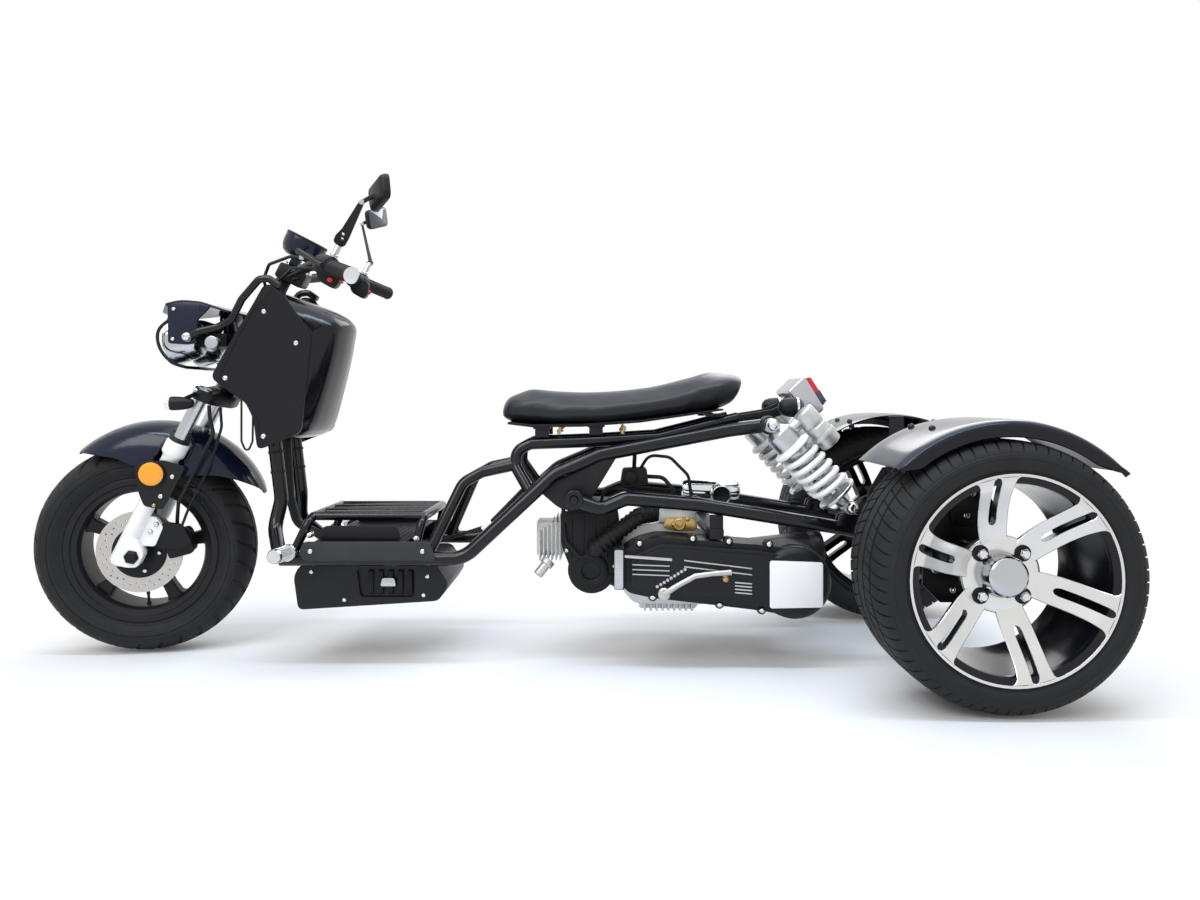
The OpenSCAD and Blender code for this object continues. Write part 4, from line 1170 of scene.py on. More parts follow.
@dataclass
class FrontWheel:
    """The steered wheel: tyre, five-spoke black rim and drilled disc."""

    outer: float = 236.3
    crown_r: float = 75.0
    slant: float = 0.0034
    seat: float = 152.5
    bead: float = 44.0
    steps: int = 30
    spokes: int = 5
    spoke_turn: float = 26.0
    disc_at: float = 52.0
    disc_thick: float = 5.0
    disc_r: float = 91.0

    def build(self) -> None:
        """Make all pieces of the wheel."""
        self._tyre()
        self._rim()
        self._disc()

    def _crown(self, y: float) -> float:
        """Give the tyre's radius at a distance from its middle."""
        return self.outer - self.crown_r + math.sqrt(self.crown_r ** 2 - y * y)

    def _tyre(self) -> None:
        """Make the tyre with its wide shoulder cuts and two middle grooves."""
        crown = self._crown
        half = [
            (crown(0), 0.0, 0.0), (crown(6), 6.0, 0.0), (crown(7) - 5, 7.2, 0.0), (crown(10) - 5, 10.5, 0.0),
            (crown(11), 11.5, 5.0), (crown(24), 24.0, 5.0), (crown(38), 38.0, 5.0), (crown(48), 48.0, 5.0),
            (crown(53), 53.0, 5.0), (crown(55.5), 55.5, 3.4), (206.0, 58.4, 0.0), (204.0, 58.0, 0.0),
            (201.6, 59.2, 0.0), (196.0, 60.0, 0.0), (194.0, 59.4, 0.0),
            (192.0, 59.7, 0.0), (184.0, 57.0, 0.0), (182.4, 55.8, 0.0), (180.8, 56.0, 0.0), (172.0, 50.0, 0.0),
            (170.0, 48.3, 0.0), (168.4, 48.6, 0.0), (164.8, 46.0, 0.0), (153.0, 44.0, 0.0),
        ]
        stations = [(0.0, 0.0), (0.30, 0.0), (0.62, 0.0), (0.68, 1.0), (0.82, 1.0), (0.88, 0.0), (1.0, 0.0)]
        pitch = 2 * math.pi / self.steps
        step = tread_step(both_sides(half), stations, pitch, self.slant)
        step.name = "front_tyre_carcass"
        ringed(step, self._place(), self.steps, 0.0, TYRE, Body.FRONT, ("front_tyre",), 30.0)

    @staticmethod
    def _place() -> Matrix:
        """Give the wheel's place, from metres about its middle."""
        return STEER @ Matrix.Scale(1 / MM, 4)

    def _rim(self) -> None:
        """Make the rim, its spokes, its hub and the valve."""
        seat, bead = self.seat, self.bead
        rim = Piece("front_rim_black", STEER)
        side = [
            (seat - 22, 6), (seat - 22, bead - 12), (seat - 16, bead - 2), (seat - 5, bead + 1), (seat - 3, bead + 5),
            (seat + 9, bead + 5), (seat + 12, bead + 3),
            (seat + 11, bead + 0.4), (seat - 0.4, bead + 0.2), (seat - 0.4, bead - 8), (seat - 10, bead - 16),
            (seat - 12, 6),
        ]
        rim.lathe(side + [(r, -y) for r, y in reversed(side)], steps=96, ring=True)
        rim.lathe([
            (8.2, -44), (30, -44), (34, -36), (34, 36), (38, 40), (38, 43.6), (8.2, 43.6)
        ], steps=48, ring=True)
        rim.done(SATIN, Body.FRONT, ("front_rim",), bevel=0.8, sharp=30.0)
        spoke = Piece("front_spokes", Matrix.Scale(MM, 4))
        sections = []
        for r, wide, low, high in (
            (30, 17, -8, 22), (60, 14, -5, 20), (100, 13, -4, 19), (122, 15, -5, 20), (seat - 20.5, 22, -8, 22)
        ):
            sections.append([
                (r, low, -wide), (r, low, wide), (r, high - 3, wide), (r, high, wide - 3), (r, high, 3 - wide),
                (r, high - 3, -wide)
            ])
        spoke.skin(sections)
        start = math.radians(-(self.spoke_turn - RAKE))
        ringed(spoke, self._place(), self.spokes, start, SATIN, Body.FRONT, sharp=25.0)
        valve = Piece("front_valve", STEER)
        down, up = math.radians(-90 - RAKE), math.radians(90 - RAKE)
        root = Vector((0, 8, 0)) + Vector((math.cos(down), 0, math.sin(down))) * (seat - 20)
        inward = Vector((math.cos(up), 0.15, math.sin(up))).normalized()
        valve.lathe([
            (0, -4), (5, -4), (5, 4), (3, 8), (3, 24), (3.8, 25), (3.8, 33), (0, 34)
        ], at=tuple(root), axis=tuple(inward), steps=16)
        valve.done(RUBBER, Body.FRONT)

    def _disc(self) -> None:
        """Make the drilled disc on its black carrier."""
        y0, y1 = self.disc_at, self.disc_at + self.disc_thick
        count, holes = 15, ((80.0, 0.1), (74.5, 0.5), (69.0, 0.9))
        step = Piece("front_brake_disc", Matrix.Scale(MM, 4))
        pitch = 2 * math.pi / count
        inner, outer = 52.0, self.disc_r
        rows = 5
        grid = {}

        def spot(radius: float, share: float, y: float) -> bmesh.types.BMVert:
            """Give the vertex at a place in the step."""
            key = (round(radius, 4), round(share, 5), y)
            if key not in grid:
                turn = pitch * share
                grid[key] = step.mesh.verts.new(Vector((radius * math.cos(turn), y, -radius * math.sin(turn))) * MM)
            return grid[key]

        cuts = [k / rows for k in range(rows + 1)]
        bands = [inner, 60.0, 66.5, 71.8, 77.2, 82.6, outer]
        for a, b in zip(cuts, cuts[1:]):
            for low, high in zip(bands, bands[1:]):
                if any(low < r < high and a <= s < b for r, s in holes):
                    self._drill(step, spot, low, high, a, b, y0, y1)
                    continue
                for y in (y0, y1):
                    step.mesh.faces.new((spot(low, a, y), spot(high, a, y), spot(high, b, y), spot(low, b, y)))
            for r in (inner, outer):
                step.mesh.faces.new((spot(r, a, y0), spot(r, b, y0), spot(r, b, y1), spot(r, a, y1)))
        ringed(step, self._place(), count, 0.3, STEEL_AND_LEVER_HIGHLIGHT, Body.FRONT, ("front_disc",), 30.0)
        carrier = Piece("front_disc_carrier", STEER)
        carrier.lathe([
            (8.6, 44.2), (35, 44.2), (35, 51), (58, y0 + 1), (58, y1 + 1.5), (50, y1 + 3), (34, y1 + 3), (28, y1 + 1),
            (8.6, y1 + 1)
        ], steps=48, ring=True)
        carrier.done(DARK, Body.FRONT, bevel=0.6)
        rivets = Screws("front_disc_rivets", Body.FRONT)
        for k in range(5):
            turn = 2 * math.pi * k / 5 + 0.2
            rivets.add((43 * math.cos(turn), y1 + 2.6, 43 * math.sin(turn)), (0, 1, 0), 11.0, STEER)
        rivets.build()

    @staticmethod
    def _drill(
        step: Piece, spot: Callable[[float, float, float], bmesh.types.BMVert], low: float, high: float, a: float,
        b: float, y0: float, y1: float
    ) -> None:
        """Cut a round hole in one cell of the disc.

        Args:
            step: The disc's step.
            spot: Gives the vertex at a place.
            low: The cell's inner radius.
            high: The cell's outer radius.
            a: The cell's start, as a share of the step.
            b: The cell's end.
            y0: The back face.
            y1: The front face.
        """
        corners = [(low, a), (high, a), (high, b), (low, b)]
        pair = []
        for y in (y0, y1):
            outer = [spot(r, s, y) for r, s in corners]
            middle = sum((v.co for v in outer), Vector()) / 4
            size = min((outer[0].co - outer[1].co).length, (outer[1].co - outer[2].co).length) * 0.40
            hole = []
            for k in range(8):
                rim = outer[k // 2].co if k % 2 == 0 else (outer[k // 2].co + outer[(k // 2 + 1) % 4].co) / 2
                hole.append(step.mesh.verts.new(middle + (rim - middle).normalized() * size))
            for k in range(4):
                step.mesh.faces.new((outer[k], hole[2 * k], hole[2 * k + 1]))
                step.mesh.faces.new((outer[k], hole[2 * k + 1], outer[(k + 1) % 4]))
                step.mesh.faces.new((outer[(k + 1) % 4], hole[2 * k + 1], hole[(2 * k + 2) % 8]))
            pair.append(hole)
        for k in range(8):
            j = (k + 1) % 8
            step.mesh.faces.new((pair[0][k], pair[0][j], pair[1][j], pair[1][k]))


@dataclass
class RearWheel:
    """A driven wheel: low tyre, black barrel and six split spokes with cut faces."""

    side: int
    outer: float = 248.9
    slant: float = 0.0011
    seat: float = 178.0
    bead: float = 94.5
    steps: int = 66
    spokes: int = 6
    spoke_turn: float = 17.0
    hub_face: float = 36.0
    lug_pcd: float = 110.0
    arm: tuple[tuple[float, float, float, float], ...] = (
        (58, 36, 24, 0), (74, 38.5, 25.5, 0), (93, 46, 27.2, 0), (97, 48, 27.5, 5), (104, 51.7, 27.8, 7),
        (112, 56, 28, 7), (130, 67, 28.4, 7), (146, 78, 29, 7),
        (156, 85, 29.6, 7), (163, 90, 30.4, 7), (172, 95.9, 32, 7), (178, 97.8, 34, 6.5), (182, 98.5, 37, 5),
        (185, 99, 42, 0),
    )

    @property
    def body(self) -> Body:
        """Give the wheel's body."""
        return Body.LEFT if self.side > 0 else Body.RIGHT

    @property
    def tag(self) -> str:
        """Give the wheel's side as a word."""
        return side_name(self.side)

    @property
    def centre(self) -> Vector:
        """Give the wheel's middle."""
        return Vector((REAR_AXLE.x, REAR_AXLE.y * self.side, REAR_AXLE.z))

    def _frame(self) -> Matrix:
        """Give the wheel's drawing frame, with Y outwards on either side."""
        turn = Matrix.Identity(4) if self.side > 0 else Matrix.Rotation(math.pi, 4, "Z")
        return WORLD @ Matrix.Translation(self.centre) @ turn

    def build(self) -> None:
        """Make all pieces of the wheel."""
        self._tyre()
        self._barrel()
        self._face()
        self._hub()

    def _tyre(self) -> None:
        """Make the tyre with four grooves and leaning shoulder cuts."""
        top = self.outer
        half = [
            (top, 0.0, 0.0), (top, 13.0, 0.0), (top - 7, 14.0, 0.0), (top - 7, 20.0, 0.0), (top, 21.0, 3.5),
            (top - 0.3, 36.0, 3.5), (top - 0.8, 50.0, 3.5),
            (top - 8, 51.2, 0.0), (top - 8, 57.0, 0.0), (top - 1.2, 58.2, 4.5), (top - 3, 72.0, 4.5),
            (top - 6, 83.0, 4.5), (top - 11, 91.5, 4.0), (top - 17, 96.0, 2.5), (top - 21, 98.6, 0.0),
            (top - 22.5, 98.6, 0.0), (top - 24, 100.2, 0.0),
            (top - 31, 102.0, 0.0), (top - 32, 101.2, 0.0), (top - 33.5, 101.4, 0.0), (top - 40, 102.3, 0.0),
            (top - 47, 101.0, 0.0), (top - 53, 97.5, 0.0), (top - 56, 95.2, 0.0), (178.4, 94.6, 0.0),
        ]
        stations = [(0.0, 0.0), (0.38, 0.0), (0.72, 0.0), (0.76, 1.0), (0.84, 1.0), (0.88, 0.0), (1.0, 0.0)]
        pitch = 2 * math.pi / self.steps
        step = tread_step(both_sides(half), stations, pitch, self.slant)
        step.name = f"rear_tyre_carcass_{self.tag}"
        ringed(
            step, self._frame() @ Matrix.Scale(1 / MM, 4), self.steps, 0.0, TYRE, self.body,
            (f"rear_tyre_{self.tag}",), 28.0
        )

    def _barrel(self) -> None:
        """Make the black barrel and the cut ring round its outer lip."""
        seat, bead = self.seat, self.bead
        barrel = Piece(f"rear_barrel_{self.tag}", self._frame())
        inner = [
            (seat + 12, -bead - 5), (seat - 2, -bead - 5), (seat - 9, -bead + 6), (seat - 11, -30), (seat - 11, 40),
            (seat - 7, bead - 14), (seat - 6, bead + 1), (seat + 5, bead + 3.4)
        ]
        outer = [
            (seat + 11, bead + 4.4), (seat + 12, bead + 0.4), (seat - 0.4, bead + 0.2), (seat - 0.4, bead - 10),
            (seat - 5, bead - 20), (seat - 5, -bead + 12), (seat - 0.4, -bead + 4), (seat - 0.4, -bead - 0.2),
            (seat + 12, -bead - 0.4)
        ]
        barrel.lathe(inner + outer, steps=96, ring=True)
        barrel.done(GLOSS, self.body, (f"rear_rim_{self.tag}",), bevel=0.7, sharp=30.0)
        lip = Piece(f"rear_lip_{self.tag}", self._frame())
        lip.lathe([
            (seat + 6.6, bead + 3), (seat + 12, bead + 3), (seat + 12, bead + 5), (seat + 7, bead + 5)
        ], steps=96, ring=True)
        lip.done(self._cut(), self.body, bevel=0.4)

    def _cut(self) -> Finish:
        """Give the cut-face finish of this wheel."""
        return turned(f"cut_face_{self.tag}", self.centre)

    def _face(self) -> None:
        """Make the six split spokes: cut faces over black backs."""
        faces = Piece(f"rear_spoke_faces_{self.tag}", Matrix.Scale(MM, 4))
        backs = Piece(f"rear_spoke_backs_{self.tag}", Matrix.Scale(MM, 4))
        for hand in (-1, 1):
            rows, under = [], []
            for r, face, wide, slot in self.arm:
                lean = 5.0 * max(0.0, (r - 100) / 66) ** 2
                a, b = hand * slot, hand * wide
                rows.append([
                    (r, face - 1.2, a + lean), (r, face, a + hand * 0.8 * (slot > 0) + lean),
                    (r, face, b - hand * 1.2 + lean), (r, face - 1.2, b + lean)
                ])
                if r < 173:
                    under.append([
                        (r, face - 1.2, a + lean), (r, face - 1.2, b + lean), (r, face - 20, b * 0.8 + lean),
                        (r, face - 20, a + lean)
                    ])
            for skin, piece, options in ((rows, faces, {"around": False, "caps": False}), (under, backs, {})):
                piece.skin([[(math.sqrt(r * r - z * z), y, z) for r, y, z in row] for row in skin], **options)
        place = self._frame() @ Matrix.Scale(1 / MM, 4)
        turn = self.spoke_turn if self.side > 0 else 180.0 - self.spoke_turn
        start = math.radians(-turn)
        ringed(faces, place, self.spokes, start, self._cut(), self.body, sharp=30.0)
        ringed(backs, place, self.spokes, start, GLOSS, self.body, sharp=30.0)

    def _hub(self) -> None:
        """Make the hub face, cap, wheel nuts and the drum behind."""
        face = self.hub_face
        disc = Piece(f"rear_hub_face_{self.tag}", self._frame())
        disc.lathe([
            (0, face - 22), (66, face - 22), (72, face - 10), (72, face - 1), (66, face + 1), (46, face + 1),
            (40, face), (0, face)
        ], steps=72)
        disc.done(self._cut(), self.body, bevel=0.6)
        cap = Piece(f"rear_cap_{self.tag}", self._frame())
        cap.lathe([
            (0, face - 2), (42, face - 2), (42, face + 6), (40, face + 9), (38, face + 28), (36, face + 32),
            (31, face + 35.4), (20, face + 37.8), (0, face + 38.6)
        ], steps=56)
        cap.done(CAP, self.body, bevel=0.6)
        nut = Piece(f"rear_nuts_{self.tag}", self._frame())
        seats = Piece(f"rear_nut_seats_{self.tag}", self._frame())
        for k in range(4):
            turn = math.radians(45 + 90 * k)
            at = (self.lug_pcd / 2 * math.cos(turn), face, self.lug_pcd / 2 * math.sin(turn))
            nut.lathe([(0, 0), (10, 0), (10, 13), (9.2, 16), (6, 18.4), (0, 19)], at=at, steps=6)
            seats.lathe([(0, 0.4), (15.5, 0.4), (15.5, 2.2), (12.5, 3.2), (11.5, 1.6), (0, 1.6)], at=at, steps=28)
        nut.done(CHROME, self.body, bevel=0.8)
        seats.done(GLOSS, self.body)
        drum = Piece(f"rear_drum_{self.tag}", self._frame())
        drum.lathe([
            (0, -66), (44, -66), (46, -60), (46, -20), (62, -12), (64, face - 22.4), (0, face - 22.4)
        ], steps=56)
        shaft_end = -REAR_AXLE.y + 236.5 - 70
        drum.lathe([(0, shaft_end), (16.9, shaft_end), (17, -64), (0, -64)], steps=28)
        drum.done(SATIN, self.body, bevel=0.8)


@dataclass
class FrameTubes:
    """The painted tube frame: neck, downtubes, rails with gussets, and the seat rails."""

    rail_d: float = 30.0
    seat_rail_d: float = 25.0
    deck_half: float = 150.0
    tail_half: float = 112.0
    seat_half: float = 80.0
    rail_z: float = 234.0
    deck_front: float = 520.0

    def build(self) -> None:
        """Make all tubes of the frame."""
        self._neck()
        self._downtubes()
        self._rails()
        self._seat_rails()

    def _neck(self) -> None:
        """Make the head tube with its bearing rings and the fairing stays."""
        neck = Piece("neck_tube", AT_NECK)
        lean = math.radians(RAKE)
        rings = [(16.2, 0), (27, 0), (27, 14), (25, 15), (25, 115), (27, 116), (27, 130), (16.2, 130)]
        neck.lathe(rings, axis=(-math.sin(lean), 0, math.cos(lean)), steps=48, ring=True)
        for side in (1, -1):
            neck.tube([(-34, 22 * side, 60), (-74, 111.9 * side, 60)], 14)
        neck.done(TUBE_PAINT, Body.CHASSIS, ("head_tube",), bevel=0.6)

    def _downtubes(self) -> None:
        """Make the two tubes from the neck to the rails, their cable ties and the loom."""
        front = self.deck_front
        path = [
            (NECK.x - 14, 33, NECK.z + 50), (NECK.x - 126, 64, NECK.z - 80), (front + 44, 64, 350),
            (front + 52, 84, 290), (front + 16, self.deck_half, self.rail_z),
        ]
        tubes = Piece("down_tubes").tube(path, self.rail_d, 55, 26)
        tubes.mirror().done(TUBE_PAINT, Body.CHASSIS, ("downtube_left", "downtube_right"))
        ties = Piece("cable_ties")
        for share in (0.35, 0.62):
            at = Vector(path[1]).lerp(Vector(path[2]), share)
            along = Vector(path[2]) - Vector(path[1])
            ties.lathe(
                [(15, -3), (16.6, -2.4), (16.6, 2.4), (15, 3)], at=tuple(at), axis=tuple(along), steps=30, ring=True
            )
        ties.mirror().done(RUBBER, Body.CHASSIS)
        loom = Piece("frame_loom").tube([
            (NECK.x - 66, 0, NECK.z - 25), (574, 4, 480), (566, 6, 350), (550, 6, 290), (480, 10, 256), (430, 10, 256)
        ], 20, 36, 16)
        loom.tube([(634, 110, 585), (634, 110, 480), (622, 110, 452), (610, 110, 480), (609, 110, 540)], 4.5, 12, 10)
        loom.tube([(20, 96, 384), (106, 104, 296), (220, 80, 258), (262, 76, 258)], 8, 40, 12)
        loom.done(RUBBER, Body.CHASSIS)
        plug = Piece("loom_plug").tube([(96, 103, 306), (114, 104, 288)], [15, 17], 0, 6)
        plug.done(WHITE, Body.CHASSIS, bevel=1.2)

    def _rails(self) -> None:
        """Make the long rails, the pivot gussets and the shock bosses."""
        path = [
            (self.deck_front + 15.5, self.deck_half, self.rail_z), (150, self.deck_half, self.rail_z),
            (-38, 122, 408),
            (-139, self.tail_half, 451), (-415, self.tail_half, 504), (-500, self.tail_half, 515),
        ]
        rails = Piece("main_rails").tube(path, self.rail_d, 70, 26)
        rails.lathe([(0, 114), (8, 114), (8, 166), (0, 166)], at=(-84, 0, 359), steps=20)
        rails.lathe([(0, 96), (17, 96), (20, 99), (20, 125), (17, 128), (0, 128)], at=(-500, 0, 515), steps=36)
        rails.mirror().done(TUBE_PAINT, Body.CHASSIS, ("rail_left", "rail_right"), bevel=0.8)
        gusset = [(-9, 372), (-60, 410), (-139, 440), (-178, 452), (-112, 344), (-84, 330), (-52, 336)]
        plates = Piece("pivot_gussets").plate(eased(gusset, 12), 114, 120)
        plates.mirror().done(SATIN, Body.CHASSIS, bevel=1.0)

    def _seat_rails(self) -> None:
        """Make the seat rails, their risers, the saddle feet and the saddle springs."""
        half = self.seat_half
        rail = [
            (6, 119, 362), (46, half + 8, 425), (44, half, 458), (14, half, 473), (-117, half, 478),
            (-268, half, 487), (-440, half, 530)
        ]
        riser = [(226, 142, 242), (158, 100, 390), (118, 92, 412), (47, half + 7, 427)]
        tubes = Piece("saddle_rails").tube(rail, self.seat_rail_d, 26, 24)
        tubes.tube(riser, self.seat_rail_d - 1, 40, 24)
        tubes.mirror().done(TUBE_PAINT, Body.CHASSIS, ("seat_rail_left", "seat_rail_right"))
        feet = Piece("saddle_feet")
        for x, low, high in ((-12, 488, 510.6), (-130, 492.3, 514.6), (-386, 531.4, 539.6)):
            feet.block((x - 15, half - 10, low), (x + 15, half + 10, high))
            feet.block((x - 19, half - 14, high - 5), (x + 19, half + 14, high))
        feet.mirror().done(SATIN, Body.CHASSIS, ("seat_pan",), bevel=1.2)
        springs = Piece("saddle_springs")
        for x in (-50, -190):
            springs.tube([
                (x, half - 4, 494), (x + 3, half - 4, 500), (x - 3, half - 4, 506), (x, half - 4, 511)
            ], 8, 0, 12)
        springs.mirror().done(BRASS, Body.CHASSIS)


@dataclass
class Deck:
    """The foot deck: tube rack, side plates, tread floor, battery box and foot pegs."""

    front: float = 520.0
    rear: float = 204.0
    half: float = 150.0
    top: float = 318.0
    tube_d: float = 19.0
    skirt: float = 165.3
    box_half: float = 116.0
    box_low: float = 118.0
    box_top: float = 224.0
    peg_rise: float = 4.0

    def build(self) -> None:
        """Make all pieces of the deck."""
        self._rack()
        self._plates()
        self._box()
        self._pegs()

    def _rack(self) -> None:
        """Make the two hoops and the four bars between them."""
        rack = Piece("deck_tubes")
        for foot, head in ((self.front - 8, self.front - 40), (self.rear + 52, self.rear + 36)):
            side = [(foot, 142, 242), (head, 126, self.top)]
            rack.tube(side + mirrored(side[::-1]), self.tube_d, 30, 20)
        for y in (-105, -35, 35, 105):
            rack.tube([(self.rear + 36, y, self.top), (self.front - 40, y, self.top)], self.tube_d - 1, 0, 20)
        rack.done(TUBE_PAINT, Body.CHASSIS, ("deck_rack",))

    def _plates(self) -> None:
        """Make the side plates, the ribbed floor and the inner walls."""
        skirt = [
            (self.rear, 233), (self.front - 40, 233), (self.front - 29, 247), (self.front - 38, 273),
            (self.rear + 14, 273)
        ]
        plates = Piece("deck_side_plates").plate(eased(skirt, 9), self.skirt, self.skirt + 4)
        plates.mirror().done(PLATE, Body.CHASSIS, ("deck_panels",), bevel=1.0)
        floor = Piece("deck_floor").block((self.rear + 66, -167, 268), (self.front - 58, 167, 272))
        for k in range(16):
            x = self.rear + 74 + k * 11.6
            floor.block((x, -140, 271.6), (x + 4.5, 140, 273.2))
        floor.done(DARK, Body.CHASSIS, bevel=0.5)
        walls = Piece("deck_walls").plate(eased([(280, 272), (456, 272), (446, 303), (290, 303)], 10), 144, 150)
        walls.mirror().done(DARK, Body.CHASSIS, bevel=0.8)
        bolts = Screws("deck_bolts", Body.CHASSIS)
        for x, z in ((474, 284), (250, 276)):
            bolts.pair((x, self.half, z), 13)
        for x in (232, 466):
            bolts.pair((x, self.skirt + 4, 253), 12)
        bolts.pair((-84, 120, 359), 26)
        bolts.build()

    def _box(self) -> None:
        """Make the battery box with its side window, slats and latch."""
        front, rear, low, top = self.front, self.rear, self.box_low, self.box_top
        outline = [
            (front - 10, top - 14), (front, top - 36), (front - 10, low), (rear + 4, low + 19), (rear - 18, low + 54),
            (rear + 14, top), (front - 40, top)
        ]
        box = Piece("battery_case").plate(eased(outline, 12), -self.box_half, self.box_half)
        window = eased([(260, 146), (376, 146), (384, 207), (260, 207)], 8)
        for side in (1, -1):
            box.cut(Piece("blade").plate(window, self.box_half * side - 12, self.box_half * side + 12))
        box.block((rear + 50, -134.6, top - 4), (front - 60, 134.6, top + 10))
        box.done(SATIN, Body.CHASSIS, ("battery_box",), bevel=1.2, sharp=32.0)
        slats = Piece("battery_slats")
        for k in range(5):
            slats.block((266 + 21 * k, 104, 152), (277 + 21 * k, 110, 201))
        slats.mirror().done(DARK, Body.CHASSIS, bevel=1.0)
        latch = Piece("battery_latch").plate(eased([(300, 168), (334, 168), (330, 186), (304, 186)], 5), 109, 114)
        latch.mirror().done(SILVER, Body.CHASSIS, bevel=0.8)
        bolts = Screws("battery_bolts", Body.CHASSIS)
        for x, z in ((481, 200), (232, 190), (410, 140), (240, 150)):
            bolts.pair((x, self.box_half, z), 11)
        bolts.build()

    def _pegs(self) -> None:
        """Make the knurled foot pegs, each on its flange."""
        rise = math.radians(self.peg_rise)
        at, along = (self.front - 8, self.skirt - 1, 250), (0, math.cos(rise), math.sin(rise))
        profile = [(0, 0.4), (16.6, 0.4), (18, 2), (18, 12.6), (17, 14), (15, 14)]
        for k in range(11):
            h = 20 + 5.6 * k
            profile += [(15, h), (13.8, h + 0.8), (13.8, h + 2.2), (15, h + 3.0)]
        peg = Piece("peg_bars").lathe(profile + [(15, 85), (13, 89), (0, 89.6)], at, along, 32)
        peg.mirror().done(CHROME, Body.CHASSIS, ("foot_pegs",), sharp=45.0)


@dataclass
class Saddle:
    """The low saddle, swelled by its filling."""

    level: float = 580.0
    shrink: float = 6.0
    swell: float = 9.0
    frames: int = 20
    mesh_size: float = 0.006
    pressure: float = 4.0
    stiffness: float = 20.0

    def _half(self, x: float) -> float:
        """Give the half width at a length along the trike."""
        marks = [
            (96, 60), (80, 74), (62, 92), (30, 106), (-60, 116), (-160, 124), (-340, 124), (-400, 112), (-432, 94),
            (-470, 70)
        ]
        for (a, w), (b, v) in zip(marks, marks[1:]):
            if a >= x >= b:
                return w + (v - w) * (a - x) / (a - b)
        return marks[-1][1]

    def build(self) -> None:
        """Make the pad: a crowned closed form, swelled by pressure."""
        top = spline([
            (86, -40, 0), (70, -3, 0), (23, 8, 0), (-34, 3, 0), (-111, 0, 0), (-188, 4, 0), (-265, 14, 0),
            (-341, 33, 0), (-391, 47, 0), (-434, 51, 0), (-463, 39, 0)
        ], 4)
        low = spline([
            (81, -53, 0), (52, -64, 0), (10, -67, 0), (-34, -69, 0), (-100, -67, 0), (-149, -66, 0), (-226, -58, 0),
            (-290, -50, 0), (-340, -42, 0), (-398, -33, 0), (-436, -18, 0)
        ], 4)
        pad = Piece("saddle_pad")
        rings = []
        for a, b in zip(top, low):
            half = self._half((a.x + b.x) / 2) - self.shrink
            ring = []
            for k in range(28):
                turn = 2 * math.pi * k / 28
                side, rise = math.cos(turn), math.sin(turn)
                across = math.copysign(abs(side) ** 0.55, side)
                share = 0.5 + 0.5 * math.copysign(abs(rise) ** 0.7, rise)
                crown = 1.0 - 0.10 * across ** 2 * share
                tall = b.lerp(a, share * crown)
                spread = half * across * (0.90 + 0.10 * math.sin(math.pi * share))
                ring.append((tall.x, spread, self.level + tall.y - self.shrink * 0.5 * (share - 0.2)))
            rings.append(ring)
        pad.skin(rings)
        obj = pad.weld().object()
        pad.mesh.free()
        self._inflate(obj)
        settle(obj, HIDE, Body.CHASSIS, ("seat_pad",), 60.0)
        base = Piece("saddle_base")
        edge = [
            (62, 516), (10, 509.6), (-100, 510.6), (-226, 519.6), (-330, 534.6), (-408, 546.6), (-406, 550),
            (-226, 526), (-100, 517), (10, 516), (62, 521)
        ]
        base.plate(edge, -96, 96).done(DARK, Body.CHASSIS, bevel=1.0)

    def _inflate(self, obj: bpy.types.Object) -> None:
        """Swell the pad with cloth pressure and keep the result.

        Args:
            obj: The pad.
        """
        scene = bpy.context.scene
        remesh = obj.modifiers.new("remesh", "REMESH")
        remesh.mode, remesh.voxel_size = "VOXEL", self.mesh_size
        self._keep(obj)
        start = [v.co.copy() for v in obj.data.vertices]
        cloth = obj.modifiers.new("cloth", "CLOTH")
        cloth.settings.use_pressure = True
        cloth.settings.uniform_pressure_force = self.pressure
        cloth.settings.effector_weights.gravity = 0.0
        cloth.settings.tension_stiffness = self.stiffness
        cloth.settings.compression_stiffness = self.stiffness
        for number in range(1, self.frames + 1):
            scene.frame_set(number)
        self._keep(obj)
        cap = self.swell * MM
        for vertex, first in zip(obj.data.vertices, start):
            step = vertex.co - first
            if step.length > cap:
                step *= cap / step.length
            step.z = max(step.z, 0.0)
            vertex.co = first + step
        scene.frame_set(1)
        smooth = obj.modifiers.new("ease", "SMOOTH")
        smooth.factor, smooth.iterations = 0.5, 12
        fine = obj.modifiers.new("fine", "SUBSURF")
        fine.levels = fine.render_levels = 1
        self._keep(obj)

    @staticmethod
    def _keep(obj: bpy.types.Object) -> None:
        """Apply the object's modifiers to its mesh."""
        data = baked(obj)
        obj.modifiers.clear()
        obj.data = data


